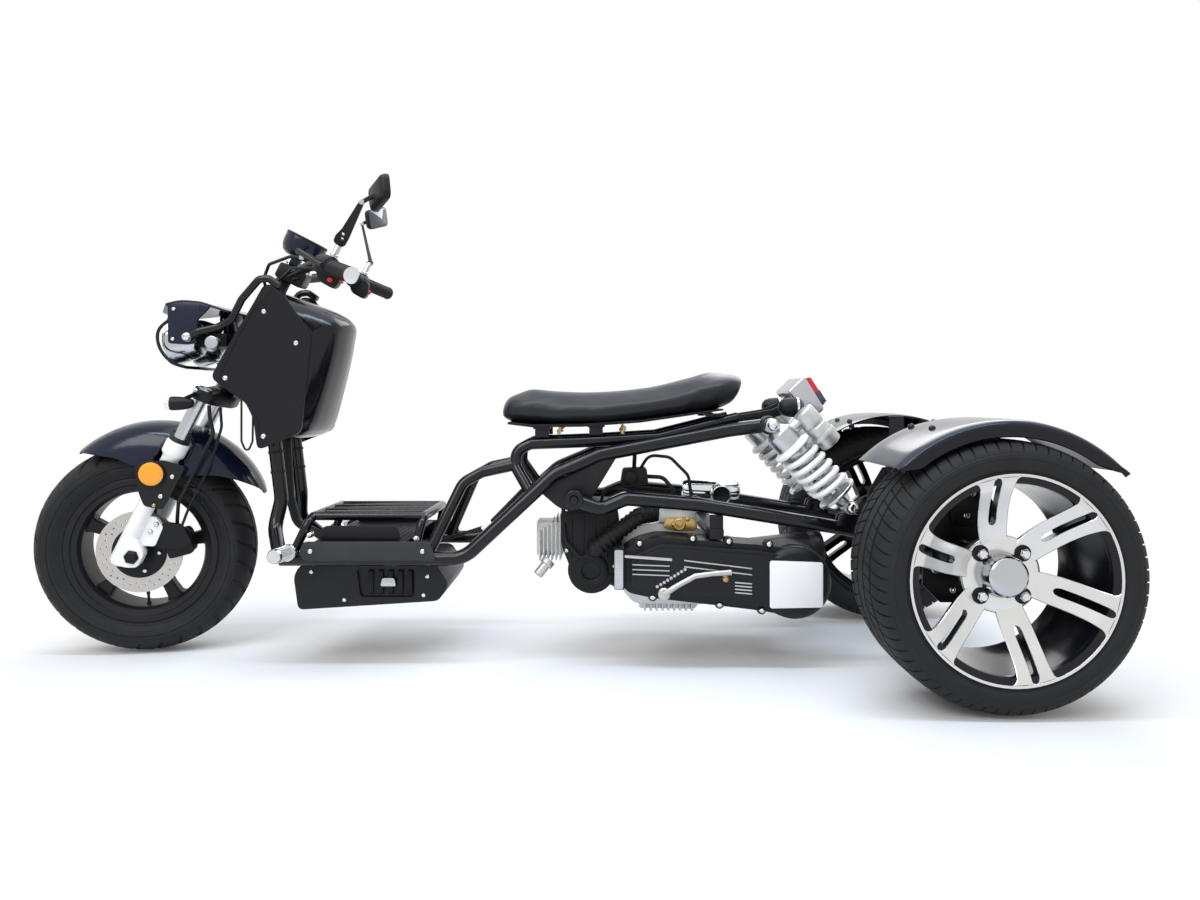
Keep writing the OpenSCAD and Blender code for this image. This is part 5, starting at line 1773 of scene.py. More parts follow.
@dataclass
class Fairing:
    """The leg shield: bordered side panels and a bowed rear cover."""

    half: float = 120.0
    thick: float = 5.0

    def build(self) -> None:
        """Make the panels, the cover and their bolts."""
        edge = [
            (-128, 228), (-158, 222), (-229, 117), (-207, -92), (-113, -130), (-104, -61), (-88, -28), (-12, 26),
            (-60, 112), (-100, 178)
        ]
        inner = [
            (-128, 198), (-214, 108), (-194, -84), (-120, -112), (-114, -62), (-94, -38), (-30, 26), (-72, 114),
            (-106, 172)
        ]
        panels = Piece("shield_panels", AT_NECK).plate(eased(edge, 16, 5), self.half - self.thick, self.half)
        panels.cut(Piece("blade", AT_NECK).plate(eased(inner, 12, 5), self.half - 2.2, self.half + 4))
        panels.mirror().done(GLOSS, Body.CHASSIS, ("fairing_left", "fairing_right"), bevel=2.0, sharp=30.0, steps=3)
        self._cover()
        bolts = Screws("shield_bolts", Body.CHASSIS)
        for x, z in ((-127, 168), (-44, 25), (-126, -100), (-196, 100)):
            bolts.pair((x, self.half - 2.2, z), 13, AT_NECK)
        bolts.build()

    def _cover(self) -> None:
        """Make the bowed rear cover."""
        middle = [(-150, 214), (-271, 164), (-278, 108), (-244, -26), (-221, -86), (-194, -102)]
        side = [(-152, 214), (-211, 138), (-226, 110), (-215, -10), (-207, -72), (-190, -96)]
        rows = []
        for y, share in ((-1, 0.0), (-0.72, 0.72), (-0.36, 0.94), (0, 1.0), (0.36, 0.94), (0.72, 0.72), (1, 0.0)):
            rows.append(
                [(a + (c - a) * share, y * 114.7, b + (d - b) * share) for (a, b), (c, d) in zip(side, middle)]
            )
        top = net(rows, 5, 4)
        push = Vector((self.thick, 0, -4))
        cover = Piece("shield_cover", AT_NECK).sheet(top, [[p + push for p in row] for row in top])
        cover.done(GLOSS, Body.CHASSIS, ("fairing_rear",), bevel=0.8, sharp=50.0)


@dataclass
class Lamps:
    """The twin head lamps under their hood, the wire hoop and the side guards."""

    half: float = 132.0
    lamp_y: float = 62.0
    lamp_at: Flat = (32.0, 110.0)

    def build(self) -> None:
        """Make all pieces of the lamp group."""
        self._lamps()
        self._hood()
        self._guard()

    def _lamps(self) -> None:
        """Make the buckets, bowls and lenses on their bridge."""
        buckets = Piece("lamp_buckets", AT_NECK)
        bowls = Piece("lamp_bowls", AT_NECK)
        rims = Piece("lamp_rims", AT_NECK)
        lenses = Piece("lamp_glass", AT_NECK)
        for side in (1, -1):
            at = (self.lamp_at[0], self.lamp_y * side, self.lamp_at[1])
            buckets.lathe([
                (0, 0), (33, 0), (37, 4), (47, 26), (54, 46), (55.6, 54), (55.6, 59), (52, 59), (46, 42), (30, 26),
                (0, 20)
            ], at, (1, 0, 0), 56)
            bowls.lathe([
                (0, 22), (29, 28), (45, 44), (51, 58.6), (51.6, 58.6), (45.8, 43), (29.8, 27), (0, 21)
            ], at, (1, 0, 0), 56)
            rims.lathe([(51, 57), (55.8, 57), (55.8, 61), (53, 62.4), (51, 61.4)], at, (1, 0, 0), 56, True)
            lenses.lathe([
                (0, 71.8), (20, 71), (36, 68), (46, 64.6), (51, 61), (51, 59), (44, 62.4), (34, 65.6), (19, 68.6),
                (0, 69.4)
            ], at, (1, 0, 0), 56)
        buckets.done(CAP, Body.CHASSIS, ("headlamps",), bevel=0.6)
        bowls.done(CHROME, Body.CHASSIS)
        rims.done(CHROME, Body.CHASSIS, bevel=0.5)
        lenses.done(CLEAR, Body.CHASSIS, ("headlamp_lenses",))
        bridge = Piece("lamp_bridge", AT_NECK).block((-30, -80, 96), (33, 80, 124))
        lean = math.radians(RAKE)
        bore = Piece("blade", AT_NECK).lathe([
            (0, -10), (27.4, -10), (27.4, 190), (0, 190)
        ], axis=(-math.sin(lean), 0, math.cos(lean)))
        bridge.cut(bore).done(DARK, Body.CHASSIS, bevel=1.2)

    def _hood(self) -> None:
        """Make the hood's curved top, its cheeks and the wire hoop."""
        line = [(-56, 169), (-46, 172), (5, 189), (48, 192), (73, 186), (116, 172)]
        rows = []
        for y, front in ((-self.half, 78), (-104, 95), (-70, 112), (0, 116), (70, 112), (104, 95), (self.half, 78)):
            row = []
            for k in range(8):
                x = -56 + (front + 56) * k / 7
                a, b = next((p, q) for p, q in zip(line, line[1:]) if q[0] >= x - 1e-6)
                row.append((x, y, a[1] + (b[1] - a[1]) * (x - a[0]) / (b[0] - a[0])))
            rows.append(row)
        top = net(rows, 3, 3)
        hood = Piece("lamp_hood", AT_NECK).sheet(top, [[p - Vector((0, 0, 5)) for p in row] for row in top])
        cheek = [(74, 183), (48, 189), (5, 186), (-18, 177), (10, 150), (14, 100), (29, 96), (73, 99)]
        hood.plate(eased(cheek, 7), self.half - 6, self.half).plate(eased(cheek, 7), -self.half, 6 - self.half)
        hood.block((-18, -40, 124.4), (-6, 40, 180))
        # The hood is black; its navy tint is a painted sky reflection
        hood.done(SKY_SHEEN_BLACK, Body.CHASSIS, ("headlamp_hood",), bevel=1.0, sharp=40.0)
        bend = [(70, 129, 150), (91, 129, 132), (97, 128, 110), (89, 126, 82), (68, 121, 58), (48, 100, 49)]
        side = [tuple(p) for p in spline(bend, 4)]
        hoop = Piece("lamp_hoop", AT_NECK).tube(side + mirrored(side[::-1]), 7, 0, 14)
        hoop.done(TUBE_PAINT, Body.CHASSIS)
        bolts = Screws("lamp_bolts", Body.CHASSIS)
        for x, y, z, size in ((25, 148, 112, 20), (62, self.half, 108, 9), (60, self.half, 172, 9)):
            bolts.pair((x, y, z), size, AT_NECK)
        bolts.build()

    def _guard(self) -> None:
        """Make the tubes from the shield to the hood's pivots and the lamp adjusters."""
        near, end = 128.3, 140.3
        path = [
            (-162, near, 222), (-140, near, 238), (-120, near, 236), (-83, near, 193), (-61, near, 149),
            (-33, near, 134), (4, end, 124), (28, end, 111)
        ]
        guard = Piece("lamp_guard", AT_NECK).tube(path, 16, 14, 20)
        guard.mirror().done(TUBE_PAINT, Body.CHASSIS, ("headlamp_guard",))
        knob = Piece("lamp_adjusters", AT_NECK)
        knob.lathe([(0, 122), (14, 122), (15, 124), (15, 134), (13, 137), (0, 137)], at=(-21, 0, 101), steps=28)
        knob.mirror().done(SILVER, Body.CHASSIS, bevel=0.6)


@dataclass
class Engine:
    """The scooter engine: case, fan shroud, drive cover, carburettor, intake and exhaust."""

    cover: float = 170.0
    drum: Flat = (-549.0, 185.0)
    drum_r: float = 79.0
    ears: tuple[Flat, ...] = (
        (-334, 276), (-410, 270), (-495, 264), (-222, 266), (-391, 138), (-480, 126), (-250, 154)
    )

    def build(self) -> None:
        """Make all pieces of the engine."""
        self._case()
        self._shroud()
        self._cover()
        self._trim()
        self._fuel()
        self._exhaust()

    def _case(self) -> None:
        """Make the crankcase, the gear case, the finned sump and the hanger."""
        crank = [(-186, 150), (-215, 118), (-372, 116), (-400, 150), (-400, 262), (-330, 300), (-186, 290)]
        case = Piece("engine_case").plate(eased(crank, 14), -95, 58)
        case.plate(eased([(-396, 152), (-560, 130), (-600, 185), (-560, 240), (-396, 255)], 22), -40, 57)
        case.plate(eased([(-226, 119), (-226, 104), (-350, 102), (-362, 118)], 5), -60, 40)
        hanger = Piece("engine_hanger").block((-396.5, -50, 249), (-373.5, 50, 277))
        hanger.block((-400, -152, 275), (-370, 152, 297))
        for side in (1, -1):
            hanger.block((-399, 142 * side - 8, 296), (-371, 142 * side + 8, 325.4))
        hanger.done(SATIN, Body.CHASSIS, bevel=2.0)
        for k in range(9):
            case.block((-236 - 13 * k, -58, 101.5), (-241 - 13 * k, 56, 118))
        case.done(CASTING, Body.CHASSIS, ("crankcase",), bevel=2.0, sharp=32.0)
        head = Piece("cylinder_head")
        for k in range(6):
            head.plate(
                eased([
                    (-52 + 9 * k, 214), (-48.6 + 9 * k, 214), (-48.6 + 9 * k, 312 - 7 * k), (-52 + 9 * k, 314 - 7 * k)
                ], 1),
                -46, 60
            )
        head.block((-56, -34, 224), (2, 46, 296))
        head.lathe([(0, 0), (15, 0), (15, 12), (11, 14), (11, 40), (0, 40)], (-26, 60, 214), (0.5, 0.3, -0.6), 24)
        head.done(CASTING, Body.CHASSIS, bevel=0.8)

    def _shroud(self) -> None:
        """Make the fan shroud with its round foot and raised ribs."""
        edge = [(-54, 346), (-176, 340), (-185.4, 280), (-185.4, 190), (-78, 190), (-54, 250)]
        shroud = Piece("fan_shroud").plate(eased(edge, 14), -70, 80)
        shroud.lathe([(0, -68), (50, -68), (52, -66), (52, 75), (49, 78), (0, 78)], (-120, 0, 196), steps=56)
        for k in range(4):
            shroud.plate(
                eased([(-72 - 26 * k, 222), (-78 - 26 * k, 222), (-78 - 26 * k, 322), (-72 - 26 * k, 322)], 2), 79,
                82.5
            )
        shroud.lathe([
            (20, 76), (38, 76), (38, 82), (34, 84), (24, 84), (20, 82)
        ], (-120, 0, 196), steps=48, ring=True)
        shroud.done(DARK, Body.CHASSIS, ("cylinder_shroud",), bevel=1.6)

    def _cover(self) -> None:
        """Make the drive cover: body, stepped face, round end, front box and the kick lever."""
        body = [
            (-186, 250), (-222, 270), (-264, 280), (-493, 262), (-549, 255), (-549, 112), (-473, 125), (-243, 152),
            (-200, 162), (-186, 175)
        ]
        face = [
            (-204, 240), (-264, 268), (-480, 252), (-540, 240), (-540, 135), (-473, 138), (-243, 162), (-204, 178)
        ]
        step = [
            (-214, 234), (-266, 259), (-478, 244), (-520, 236), (-520, 146), (-474, 147), (-246, 170), (-214, 184)
        ]
        case = Piece("drive_cover").plate(eased(body, 16, 5), 58.4, 150)
        case.plate(eased(face, 14, 5), 149, 165).plate(eased(step, 12, 5), 164, self.cover)
        x, z = self.drum
        r = self.drum_r
        case.lathe([
            (0, 58.6), (r - 2, 58.6), (r, 60.6), (r, 140), (r - 3, 143), (r - 3, 158), (r - 8, 164), (r - 16, 169),
            (0, 169)
        ], (x, 0, z), steps=72)
        case.plate(eased([(-168, 258), (-190, 258), (-190, 172), (-168, 172)], 5), 122, 168)
        for ear_x, ear_z in self.ears:
            case.lathe([(0, 128), (10, 128), (10, 149), (9, 150.4), (0, 150.4)], (ear_x, 0, ear_z), steps=24)
        case.done(SATIN, Body.CHASSIS, ("cvt_cover",), bevel=1.8, sharp=32.0, steps=3)
        # The lever is black gloss; its mid-grey metal is a painted highlight along its top
        lever = Piece("kick_starter")
        lever.tube([
            (-272, 179, 166), (-300, 180.5, 184), (-336, 182, 204), (-372, 183, 209), (-411, 184, 212)
        ], [14, 12, 12, 11, 13], 0, 16)
        lever.lathe([(0, 170.4), (13, 170.4), (13, 182), (10.5, 184), (0, 184)], (-272, 0, 166), steps=24)
        lever.done(STEEL_AND_LEVER_HIGHLIGHT, Body.CHASSIS, ("kick_lever",), bevel=0.6)
        spline_bar = Piece("kick_spline")
        for k in range(9):
            t = k / 8
            at = (-258 - 58 * t, 0, 180 + 36 * t)
            spline_bar.lathe([(0, 169.4), (3.4, 169.4), (3.4, 173), (0, 173.4)], at, steps=8)
        spline_bar.done(SILVER, Body.CHASSIS)

    def _trim(self) -> None:
        """Make the bright trim, the ribs, the blank square and the bolts. The ribs are drawn in bright alloy as a
        painted highlight along their edges.
        """
        y = self.cover
        bars = Piece("cover_trim").plate(eased([(-169, 256), (-187, 256), (-187, 174), (-169, 174)], 4), 167, 171.5)
        bars.plate(eased([(-190, 246), (-289, 239), (-289, 233), (-190, 240)], 2), y - 1, y + 3)
        for low in (236, 223):
            bars.plate([(-314, low), (-456, low - 17), (-456, low - 20), (-314, low - 3)], y - 1, y + 3.4)
        bars.done(SILVER, Body.CHASSIS, bevel=0.6)
        # The ribs stand up from the black cover; their bright alloy is a painted highlight along their edges
        ribs = Piece("cover_ribs")
        for low in (227, 217, 207):
            ribs.plate(eased([(-206, low), (-284, low - 3), (-284, low - 5.6), (-206, low - 2.6)], 1), y - 1, y + 3)
        for k in range(4):
            ribs.plate(
                eased([(-420, 190 - 7 * k), (-456, 187 - 7 * k), (-456, 184 - 7 * k), (-420, 187 - 7 * k)], 1), y - 1,
                y + 2.5
            )
        ribs.done(SILVER, Body.CHASSIS, bevel=0.5)
        square = Piece("blank_square").plate(
            eased([(-493, 234), (-604, 230), (-604, 136), (-493, 134)], 6), 168.6, 171.6
        )
        square.done(WHITE, Body.CHASSIS, bevel=0.6)
        bolts = Screws("engine_bolts", Body.CHASSIS)
        for x, z in self.ears:
            bolts.add((x, 150.4, z), (0, 1, 0), 14)
        for x, z in ((-66, 240), (-66, 330), (-168, 330), (-170, 206)):
            bolts.add((x, 80, z), (0, 1, 0), 11)
        bolts.build()
        plugs = Screws("engine_plugs", Body.CHASSIS, BRASS)
        for at, size in (((-401, y, 196), 16), ((-300, 82, 296), 12), ((-330, 82, 308), 10)):
            plugs.add(at, (0, 1, 0), size)
        plugs.build()

    def _fuel(self) -> None:
        """Make the ribbed boot, the carburettor, the bright intake, the hoses and the ignition box."""
        path = soften([(-128, 80.6, 246), (-128, 104, 246), (-222, 104, 318), (-262, 60, 319)], 14, 8)
        long = [path[0]]
        for a, b in zip(path, path[1:]):
            parts = max(1, int((b - a).length / 3))
            long += [a.lerp(b, k / parts) for k in range(1, parts + 1)]
        sizes = [38 if k % 4 < 2 else 33.5 for k in range(len(long))]
        boot = Piece("intake_boot").tube([tuple(p) for p in long], sizes, 0, 24)
        boot.done(RUBBER, Body.CHASSIS, sharp=60.0)
        carb = Piece("carburettor_body").plate(
            eased([(-268, 300.4), (-350, 300.4), (-350, 332), (-268, 332)], 7), 26, 78
        )
        carb.lathe([(0, -4), (20, -4), (20, 6), (17, 9), (0, 10)], (-290, 52, 330), (0, 0, 1), 32)
        carb.tube([(-262, 60, 319), (-270, 56, 319)], 26)
        carb.done(CASTING, Body.CHASSIS, ("carburettor",), bevel=1.2)
        front = Piece("carburettor_plate").plate(
            eased([(-276, 290), (-300, 283), (-351, 283), (-351, 304), (-338, 311), (-284, 311)], 6), 77, 82
        )
        front.lathe([(9, 81), (14, 81), (14, 86), (12, 88), (9, 88)], (-312, 0, 297), steps=28, ring=True)
        front.done(BRASS, Body.CHASSIS, bevel=1.0)
        can = Piece("intake_can").tube([
            (-320, 52, 372), (-322, 52, 372), (-330, 52, 371.8), (-440, 52, 368.2), (-446, 52, 368), (-448, 52, 368)
        ], [24, 34, 40, 40, 35, 24], 0, 40)
        can.tube([(-336, 52, 332.6), (-336, 52, 370)], 32, 0, 32)
        can.lathe([
            (18, 14), (22, 16), (22, 44), (21, 46.3), (18.6, 46), (17.6, 30), (0, 30), (0, 14)
        ], (-402, 52, 368), (0, 0.992, -0.129), 40)
        can.done(CHROME, Body.CHASSIS, ("intake",), bevel=0.8)
        mouth = Piece("intake_mouth").lathe([
            (0, 30.4), (17.4, 30.4), (18, 44), (0, 34)
        ], (-402, 52, 368), (0, 0.992, -0.129), 36)
        mouth.done(DARK, Body.CHASSIS)
        pipes = Piece("engine_hoses").tube([
            (-300, 62, 331), (-300, 64, 372), (-278, 60, 398), (-236, 56, 400)
        ], 9, 22, 12)
        pipes.tube([(-274, 64, 330), (-244, 80, 352), (-190, 92, 376), (-150, 70, 376), (-140, 52, 340)], 7, 24, 12)
        pipes.tube([(-60, 82, 300), (-64, 90, 262), (-96, 90, 224), (-140, 88, 232)], 6, 20, 12)
        pipes.tube([(-226, 60, 414), (-246, 70, 448), (-292, 80, 444), (-332, 84, 404), (-342, 76, 330)], 7, 26, 12)
        pipes.done(RUBBER, Body.CHASSIS)
        box = Piece("ignition_box").plate(eased([(-183, 380), (-245, 384), (-241, 420), (-189, 418)], 6), 34, 78)
        box.tube([(-214, 60, 416), (-214, 104, 456)], 9, 0, 12)
        box.lathe([(0, 76), (13, 76), (15, 79), (15, 84), (12, 86), (0, 86)], (-206, 0, 400), steps=28)
        box.done(DARK, Body.CHASSIS, bevel=1.4)

    def _exhaust(self) -> None:
        """Make the pipe and the muffler with its end caps."""
        pipe = Piece("exhaust_pipe").tube([
            (-120, -72.4, 172), (-120, -124, 158), (-190, -150, 122), (-300, -162, 150), (-350, -165, 166)
        ], 32, 30, 24)
        start, end = Vector((-330, -165, 164)), Vector((-690, -172, 204))
        length = (end - start).length
        profile = [
            (0, 0), (30, 0), (42, 10), (44, 16), (44, 60), (42.6, 62), (42.6, 66), (44, 68), (44, length - 40),
            (42.6, length - 38), (42.6, length - 34), (44, length - 32), (44, length - 14), (40, length - 4),
            (20, length), (16, length), (15, length - 20), (0, length - 20)
        ]
        pipe.lathe(profile, tuple(start), tuple(end - start), 48)
        pipe.done(SATIN, Body.CHASSIS, ("exhaust",), bevel=0.6)


@dataclass
class RearEnd:
    """The swing arms, axle housing, brake carriers, coil shocks, fenders and tail lamps."""

    arm_half: float = 142.0
    shock_at: Point = (-500.0, 148.3, 515.0)
    shock_tilt: float = 223.803
    shock_len: float = 236.93
    fender_r: float = 286.0
    fender_in: float = 190.0
    fender_out: float = 438.0
    fender_start: float = 44.0
    fender_sweep: float = 94.0
    coil_turns: float = 5.4
    coil_r: float = 36.0
    coil_tall: float = 112.0
    coil_wire: float = 6.4
    tail_at: Flat = (-590.0, 566.0)
    tail_tilt: float = 43.0

    def build(self) -> None:
        """Make all pieces of the rear end."""
        self._arms()
        self._axle()
        for side in (1, -1):
            self._shock(side)
            self._fender(side)
        self._tail()

    def _arms(self) -> None:
        """Make the swing arms with their pivot bosses and shock ears."""
        half = self.arm_half
        path = [
            (-94, half, 354), (-141, half, 337), (-194, half, 360), (-350, half, 347), (-663, half, 296),
            (REAR_AXLE.x + 46, half, 257)
        ]
        arms = Piece("swing_arms").tube(path, 30, 40, 24)
        arms.lathe([
            (8.3, -17), (18.5, -17), (20, -15.5), (20, 15.5), (18.5, 17), (8.3, 17)
        ], (-84, half, 359), steps=36, ring=True)
        ear = [(-644, 328.7), (-684, 328.7), (-694, 290), (-634, 296)]
        arms.plate(eased(ear, 6), half - 14, half - 8).plate(eased(ear, 6), half + 8, half + 14)
        arms.mirror().done(TUBE_PAINT, Body.CHASSIS, ("swingarm_left", "swingarm_right"), bevel=0.8)

    def _axle(self) -> None:
        """Make the axle housing with its seats and the middle gear."""
        half = [
            (75, 0), (75, 34), (70, 40), (36, 44), (32, 50), (32, 114), (36, 116), (42, 118), (42, 166), (36, 168),
            (32, 170), (32, 236.5), (17.1, 236.5)
        ]
        other = [(r, -h) for r, h in half]
        other[1], other[2] = (75, -24), (70, -30)
        housing = Piece("axle_case").lathe(half + other[::-1], (REAR_AXLE.x, 0, REAR_AXLE.z), steps=56, ring=True)
        housing.done(SATIN, Body.CHASSIS, ("axle_housing",), bevel=0.8)
        bolts = Screws("axle_bolts", Body.CHASSIS)
        for k in range(8):
            turn = math.radians(45 * k + 10)
            bolts.add((REAR_AXLE.x + 62 * math.cos(turn), 41, REAR_AXLE.z + 62 * math.sin(turn)), (0, 1, 0), 11)
        self._carriers(bolts)
        bolts.build()

    @staticmethod
    def _carriers(bolts: Screws) -> None:
        """Make the dark brake carriers behind the wheels.

        Args:
            bolts: The set that their bolts go to.
        """
        upper = [
            (38, 6), (66, 24), (58, 90), (22, 150), (-44, 150), (-64, 96), (-60, 20), (-38, 6), (-26, 27), (0, 38),
            (26, 27)
        ]
        lower = [
            (-38, -6), (-46, -40), (-20, -92), (44, -92), (80, -56), (78, -6), (38, -6), (26, -27), (0, -38),
            (-26, -27)
        ]
        grip = eased([(-50, 64), (24, 64), (34, 108), (14, 152), (-38, 152), (-60, 108)], 10)
        carriers = Piece("brake_carriers")
        for side in (-1, 1):
            for outline, near, far in ((upper, 214, 222), (lower, 208, 216), (grip, 204, 232)):
                shape = [(REAR_AXLE.x + x, REAR_AXLE.z + z) for x, z in outline]
                carriers.plate(shape, min(near * side, far * side), max(near * side, far * side))
        for x, z, y in ((56, -26, 216), (20, -66, 216), (-14, 132, 232), (-2, 88, 232)):
            bolts.pair((REAR_AXLE.x + x, y, REAR_AXLE.z + z), 15)
        carriers.done(SATIN, Body.CHASSIS, bevel=0.8)

    def _shock_frame(self, side: int) -> Matrix:
        """Give the drawing frame of a shock: Z from its top eye down to its lower eye, X to the rear.

        Args:
            side: 1 for left, -1 for right.

        Returns:
            The frame.
        """
        x, y, z = self.shock_at
        return WORLD @ Matrix.Translation((x, y * side, z)) @ Matrix.Rotation(math.radians(self.shock_tilt), 4, "Y")

    def _shock(self, side: int) -> None:
        """Make a shock: bright damper and can, white cap and white coil.

        Args:
            side: 1 for left, -1 for right.
        """
        tag, place, end = side_name(side), self._shock_frame(side), self.shock_len
        body = Piece(f"shock_body_{tag}", place)
        for at in (0, end):
            body.lathe([
                (6, -20), (13.5, -20), (15, -18), (15, 18), (13.5, 20), (6, 20)
            ], (0, 0, at), steps=30, ring=True)
        profile = [
            (0, 8), (14, 8), (24, 16), (31, 22), (31, 58), (29, 60), (29, 72), (26, 74), (26, 118), (24, 120),
            (11, 121), (11, end - 44), (30, end - 43), (44, end - 41), (45, end - 39), (45, end - 35), (43, end - 34),
            (20, end - 30), (13, end - 10), (0, end - 8)
        ]
        body.lathe(profile, axis=(0, 0, 1), steps=44)
        body.done(SILVER, Body.CHASSIS, ("shocks",) if side > 0 else (), bevel=0.6)
        can = Piece(f"shock_can_{tag}", place)
        can.lathe([
            (0, 22), (20, 22), (23, 24), (24, 27), (24, 60), (22.6, 61), (22.6, 66), (24, 67), (24, 112), (22, 116),
            (18, 117.6), (0, 117.6)
        ], (67, 0, 0), (0, 0, 1), 40)
        can.lathe([(24.2, 84), (27, 84), (27, 96), (24.2, 96)], (67, 0, 0), (0, 0, 1), 40, True)
        can.tube([(26, 0, 36), (50, 0, 36)], 28, 0, 20)
        can.done(CASTING, Body.CHASSIS, bevel=0.8)
        cap = Piece(f"shock_cap_{tag}", place)
        cap.lathe([
            (26.4, 56), (38, 58), (42, 61), (43, 64), (43, 68), (41, 70), (26.4, 70)
        ], axis=(0, 0, 1), steps=44, ring=True)
        cap.done(WHITE, Body.CHASSIS, bevel=0.8)
        coil = Piece(f"shock_coil_{tag}").object()
        sizes = {"Radius": self.coil_r * MM, "Height": self.coil_tall * MM, "Wire": self.coil_wire * MM}
        COIL.run(coil, Turns=self.coil_turns, Material=WHITE.material(), **sizes)
        coil.data.transform(place @ Matrix.Translation((0, 0, 76.5)) @ Matrix.Scale(1 / MM, 4))
        settle(coil, WHITE, Body.CHASSIS, ("shock_springs",) if side > 0 else (), 50.0)
        bolt = Screws(f"shock_bolts_{tag}", Body.CHASSIS)
        for at in (0, end):
            bolt.add((0, 20 * side, at), (0, side, 0), 24, place)
        bolt.build()

    def _fender(self, side: int) -> None:
        """Make a rear fender: crowned top, rolled edge, outer skirt and stay.

        Args:
            side: 1 for left, -1 for right.
        """
        tag = side_name(side)
        place = WORLD @ Matrix.Translation((REAR_AXLE.x, 0, REAR_AXLE.z)) @ Matrix.Scale(side, 4, (0, 1, 0))
        r, a, b = self.fender_r, self.fender_in, self.fender_out
        top = [
            (r - 4, a, 0), (r - 1.2, a + 30, 0), (r, a + 70, 0), (r, a + 130, 0), (r - 0.4, b - 40, 0),
            (r - 2, b - 14, 0), (r - 7, b - 3, 0), (r - 12, b - 0.8, 0)
        ]
        skirt = [(r - 11, b - 1.2, 0), (r - 14, b - 0.2, 0), (r - 18, b, 0), (r - 30, b, 0)]
        turns = [math.radians(self.fender_start + self.fender_sweep * k / 44) for k in range(45)]
        # The crowned top is black paint with a painted sky reflection in its colour; the outer skirt of the same black
        # paint is left without it
        for part, line, step_in, finish, nodes in (
            ("shell", top, 1.4, SKY_SHEEN_BLACK, (f"rear_fender_{tag}",)), ("skirt", skirt, 3.0, GLOSS, ())
        ):
            skins = (spline(line, 4), spline([(x - 2.8, y - step_in * (y > b - 50), z) for x, y, z in line], 4))
            ends = [
                1.0 if part == "shell" else max(0.1, min(1.0, (t - turns[0]) / 0.12, (turns[-1] - t) / 0.2)) ** 0.5
                for t in turns
            ]
            reach = [[[(r - (r - p.x) * k, p.y) for p in skin] for k in ends] for skin in skins]
            rows = [
                [[(x * math.cos(t), y, x * math.sin(t)) for x, y in row] for row, t in zip(skin, turns)]
                for skin in reach
            ]
            Piece(f"fender_{part}_{tag}", place).sheet(*rows).done(finish, Body.CHASSIS, nodes, sharp=50.0)
        stay = Piece(f"fender_stay_{tag}", place)
        stay.plate(eased([(-24, 32.4), (24, 32.4), (18, r - 12), (-18, r - 12)], 4), a - 12, a - 6)
        stay.block((-18, a - 12, r - 13), (18, a + 28, r - 7))
        stay.done(SATIN, Body.CHASSIS, bevel=0.8)
        bolts = Screws(f"fender_bolts_{tag}", Body.CHASSIS, GLOSS)
        for turn, y in ((68.4, a + 30), (68.4, a + 144), (112, a + 30), (112, a + 144)):
            out = (math.cos(math.radians(turn)), 0, math.sin(math.radians(turn)))
            bolts.add((REAR_AXLE.x + (r - 1) * out[0], y * side, REAR_AXLE.z + (r - 1) * out[2]), out, 14)
        bolts.build()

    def _tail_frame(self) -> Matrix:
        """Give the drawing frame of the tail lamp."""
        tilt = Matrix.Rotation(math.radians(self.tail_tilt), 4, "Y")
        return WORLD @ Matrix.Translation((self.tail_at[0], 0, self.tail_at[1])) @ tilt

    def _tail(self) -> None:
        """Make the tail lamp, its lens, its arms and the turn signals."""
        place = self._tail_frame()
        case = Piece("tail_case", place).plate(eased([(14, -42), (-21, -42), (-38, 42), (14, 42)], 8), -70, 70)
        case.done(SILVER, Body.CHASSIS, ("tail_lamp",), bevel=4.0, steps=3)
        lens = Piece("tail_glass", place).plate(eased([(-22, -36), (-36.8, 36), (-47, 30), (-35, -32)], 5), -63, 63)
        lens.done(RED, Body.CHASSIS, ("tail_lens",), bevel=2.0, steps=3)
        band = Piece("tail_band", place).plate([(-22.6, -33), (-29, -4), (-42, -4), (-36.4, -33)], -64, 64)
        band.done(SMOKE, Body.CHASSIS, bevel=1.0)
        arm = [(-420, 532), (-520, 548), (-566, 568), (-578, 550), (-520, 528), (-420, 514)]
        arms = Piece("tail_arms").plate(eased(arm, 6), 50, 56)
        arms.lathe([(0, 53), (6, 53), (6, 67.7), (0, 67.7)], (-430, 0, 523), steps=18)
        arms.mirror().done(SATIN, Body.CHASSIS, ("tail_bracket",), bevel=0.8)
        back = Piece("tail_plate", place).block((14.4, -53, -20), (20.2, 53, 20))
        back.done(SATIN, Body.CHASSIS, bevel=0.8)
        shells, glass, rims = Piece("signal_shells"), Piece("signal_glass"), Piece("signal_rims")
        at = (-526, 97, 553)
        shells.lathe([(0, 0), (8, 0), (16, 6), (20.5, 18), (22, 34), (22, 38), (0, 38)], at, (-1, 0, 0), 36)
        shells.tube([(-548, 56.4, 551), (-548, 97, 551)], 12, 0, 16)
        rims.lathe([(20.6, 37), (23, 37), (23, 42), (20.6, 42)], at, (-1, 0, 0), 36, True)
        glass.lathe([(0, 38), (20.4, 38), (20.4, 42), (17, 49), (10, 54), (0, 56)], at, (-1, 0, 0), 36)
        shells.mirror().done(DARK, Body.CHASSIS, ("rear_signals",), bevel=0.5)
        rims.mirror().done(CHROME, Body.CHASSIS, bevel=0.5)
        glass.mirror().done(SMOKE, Body.CHASSIS)


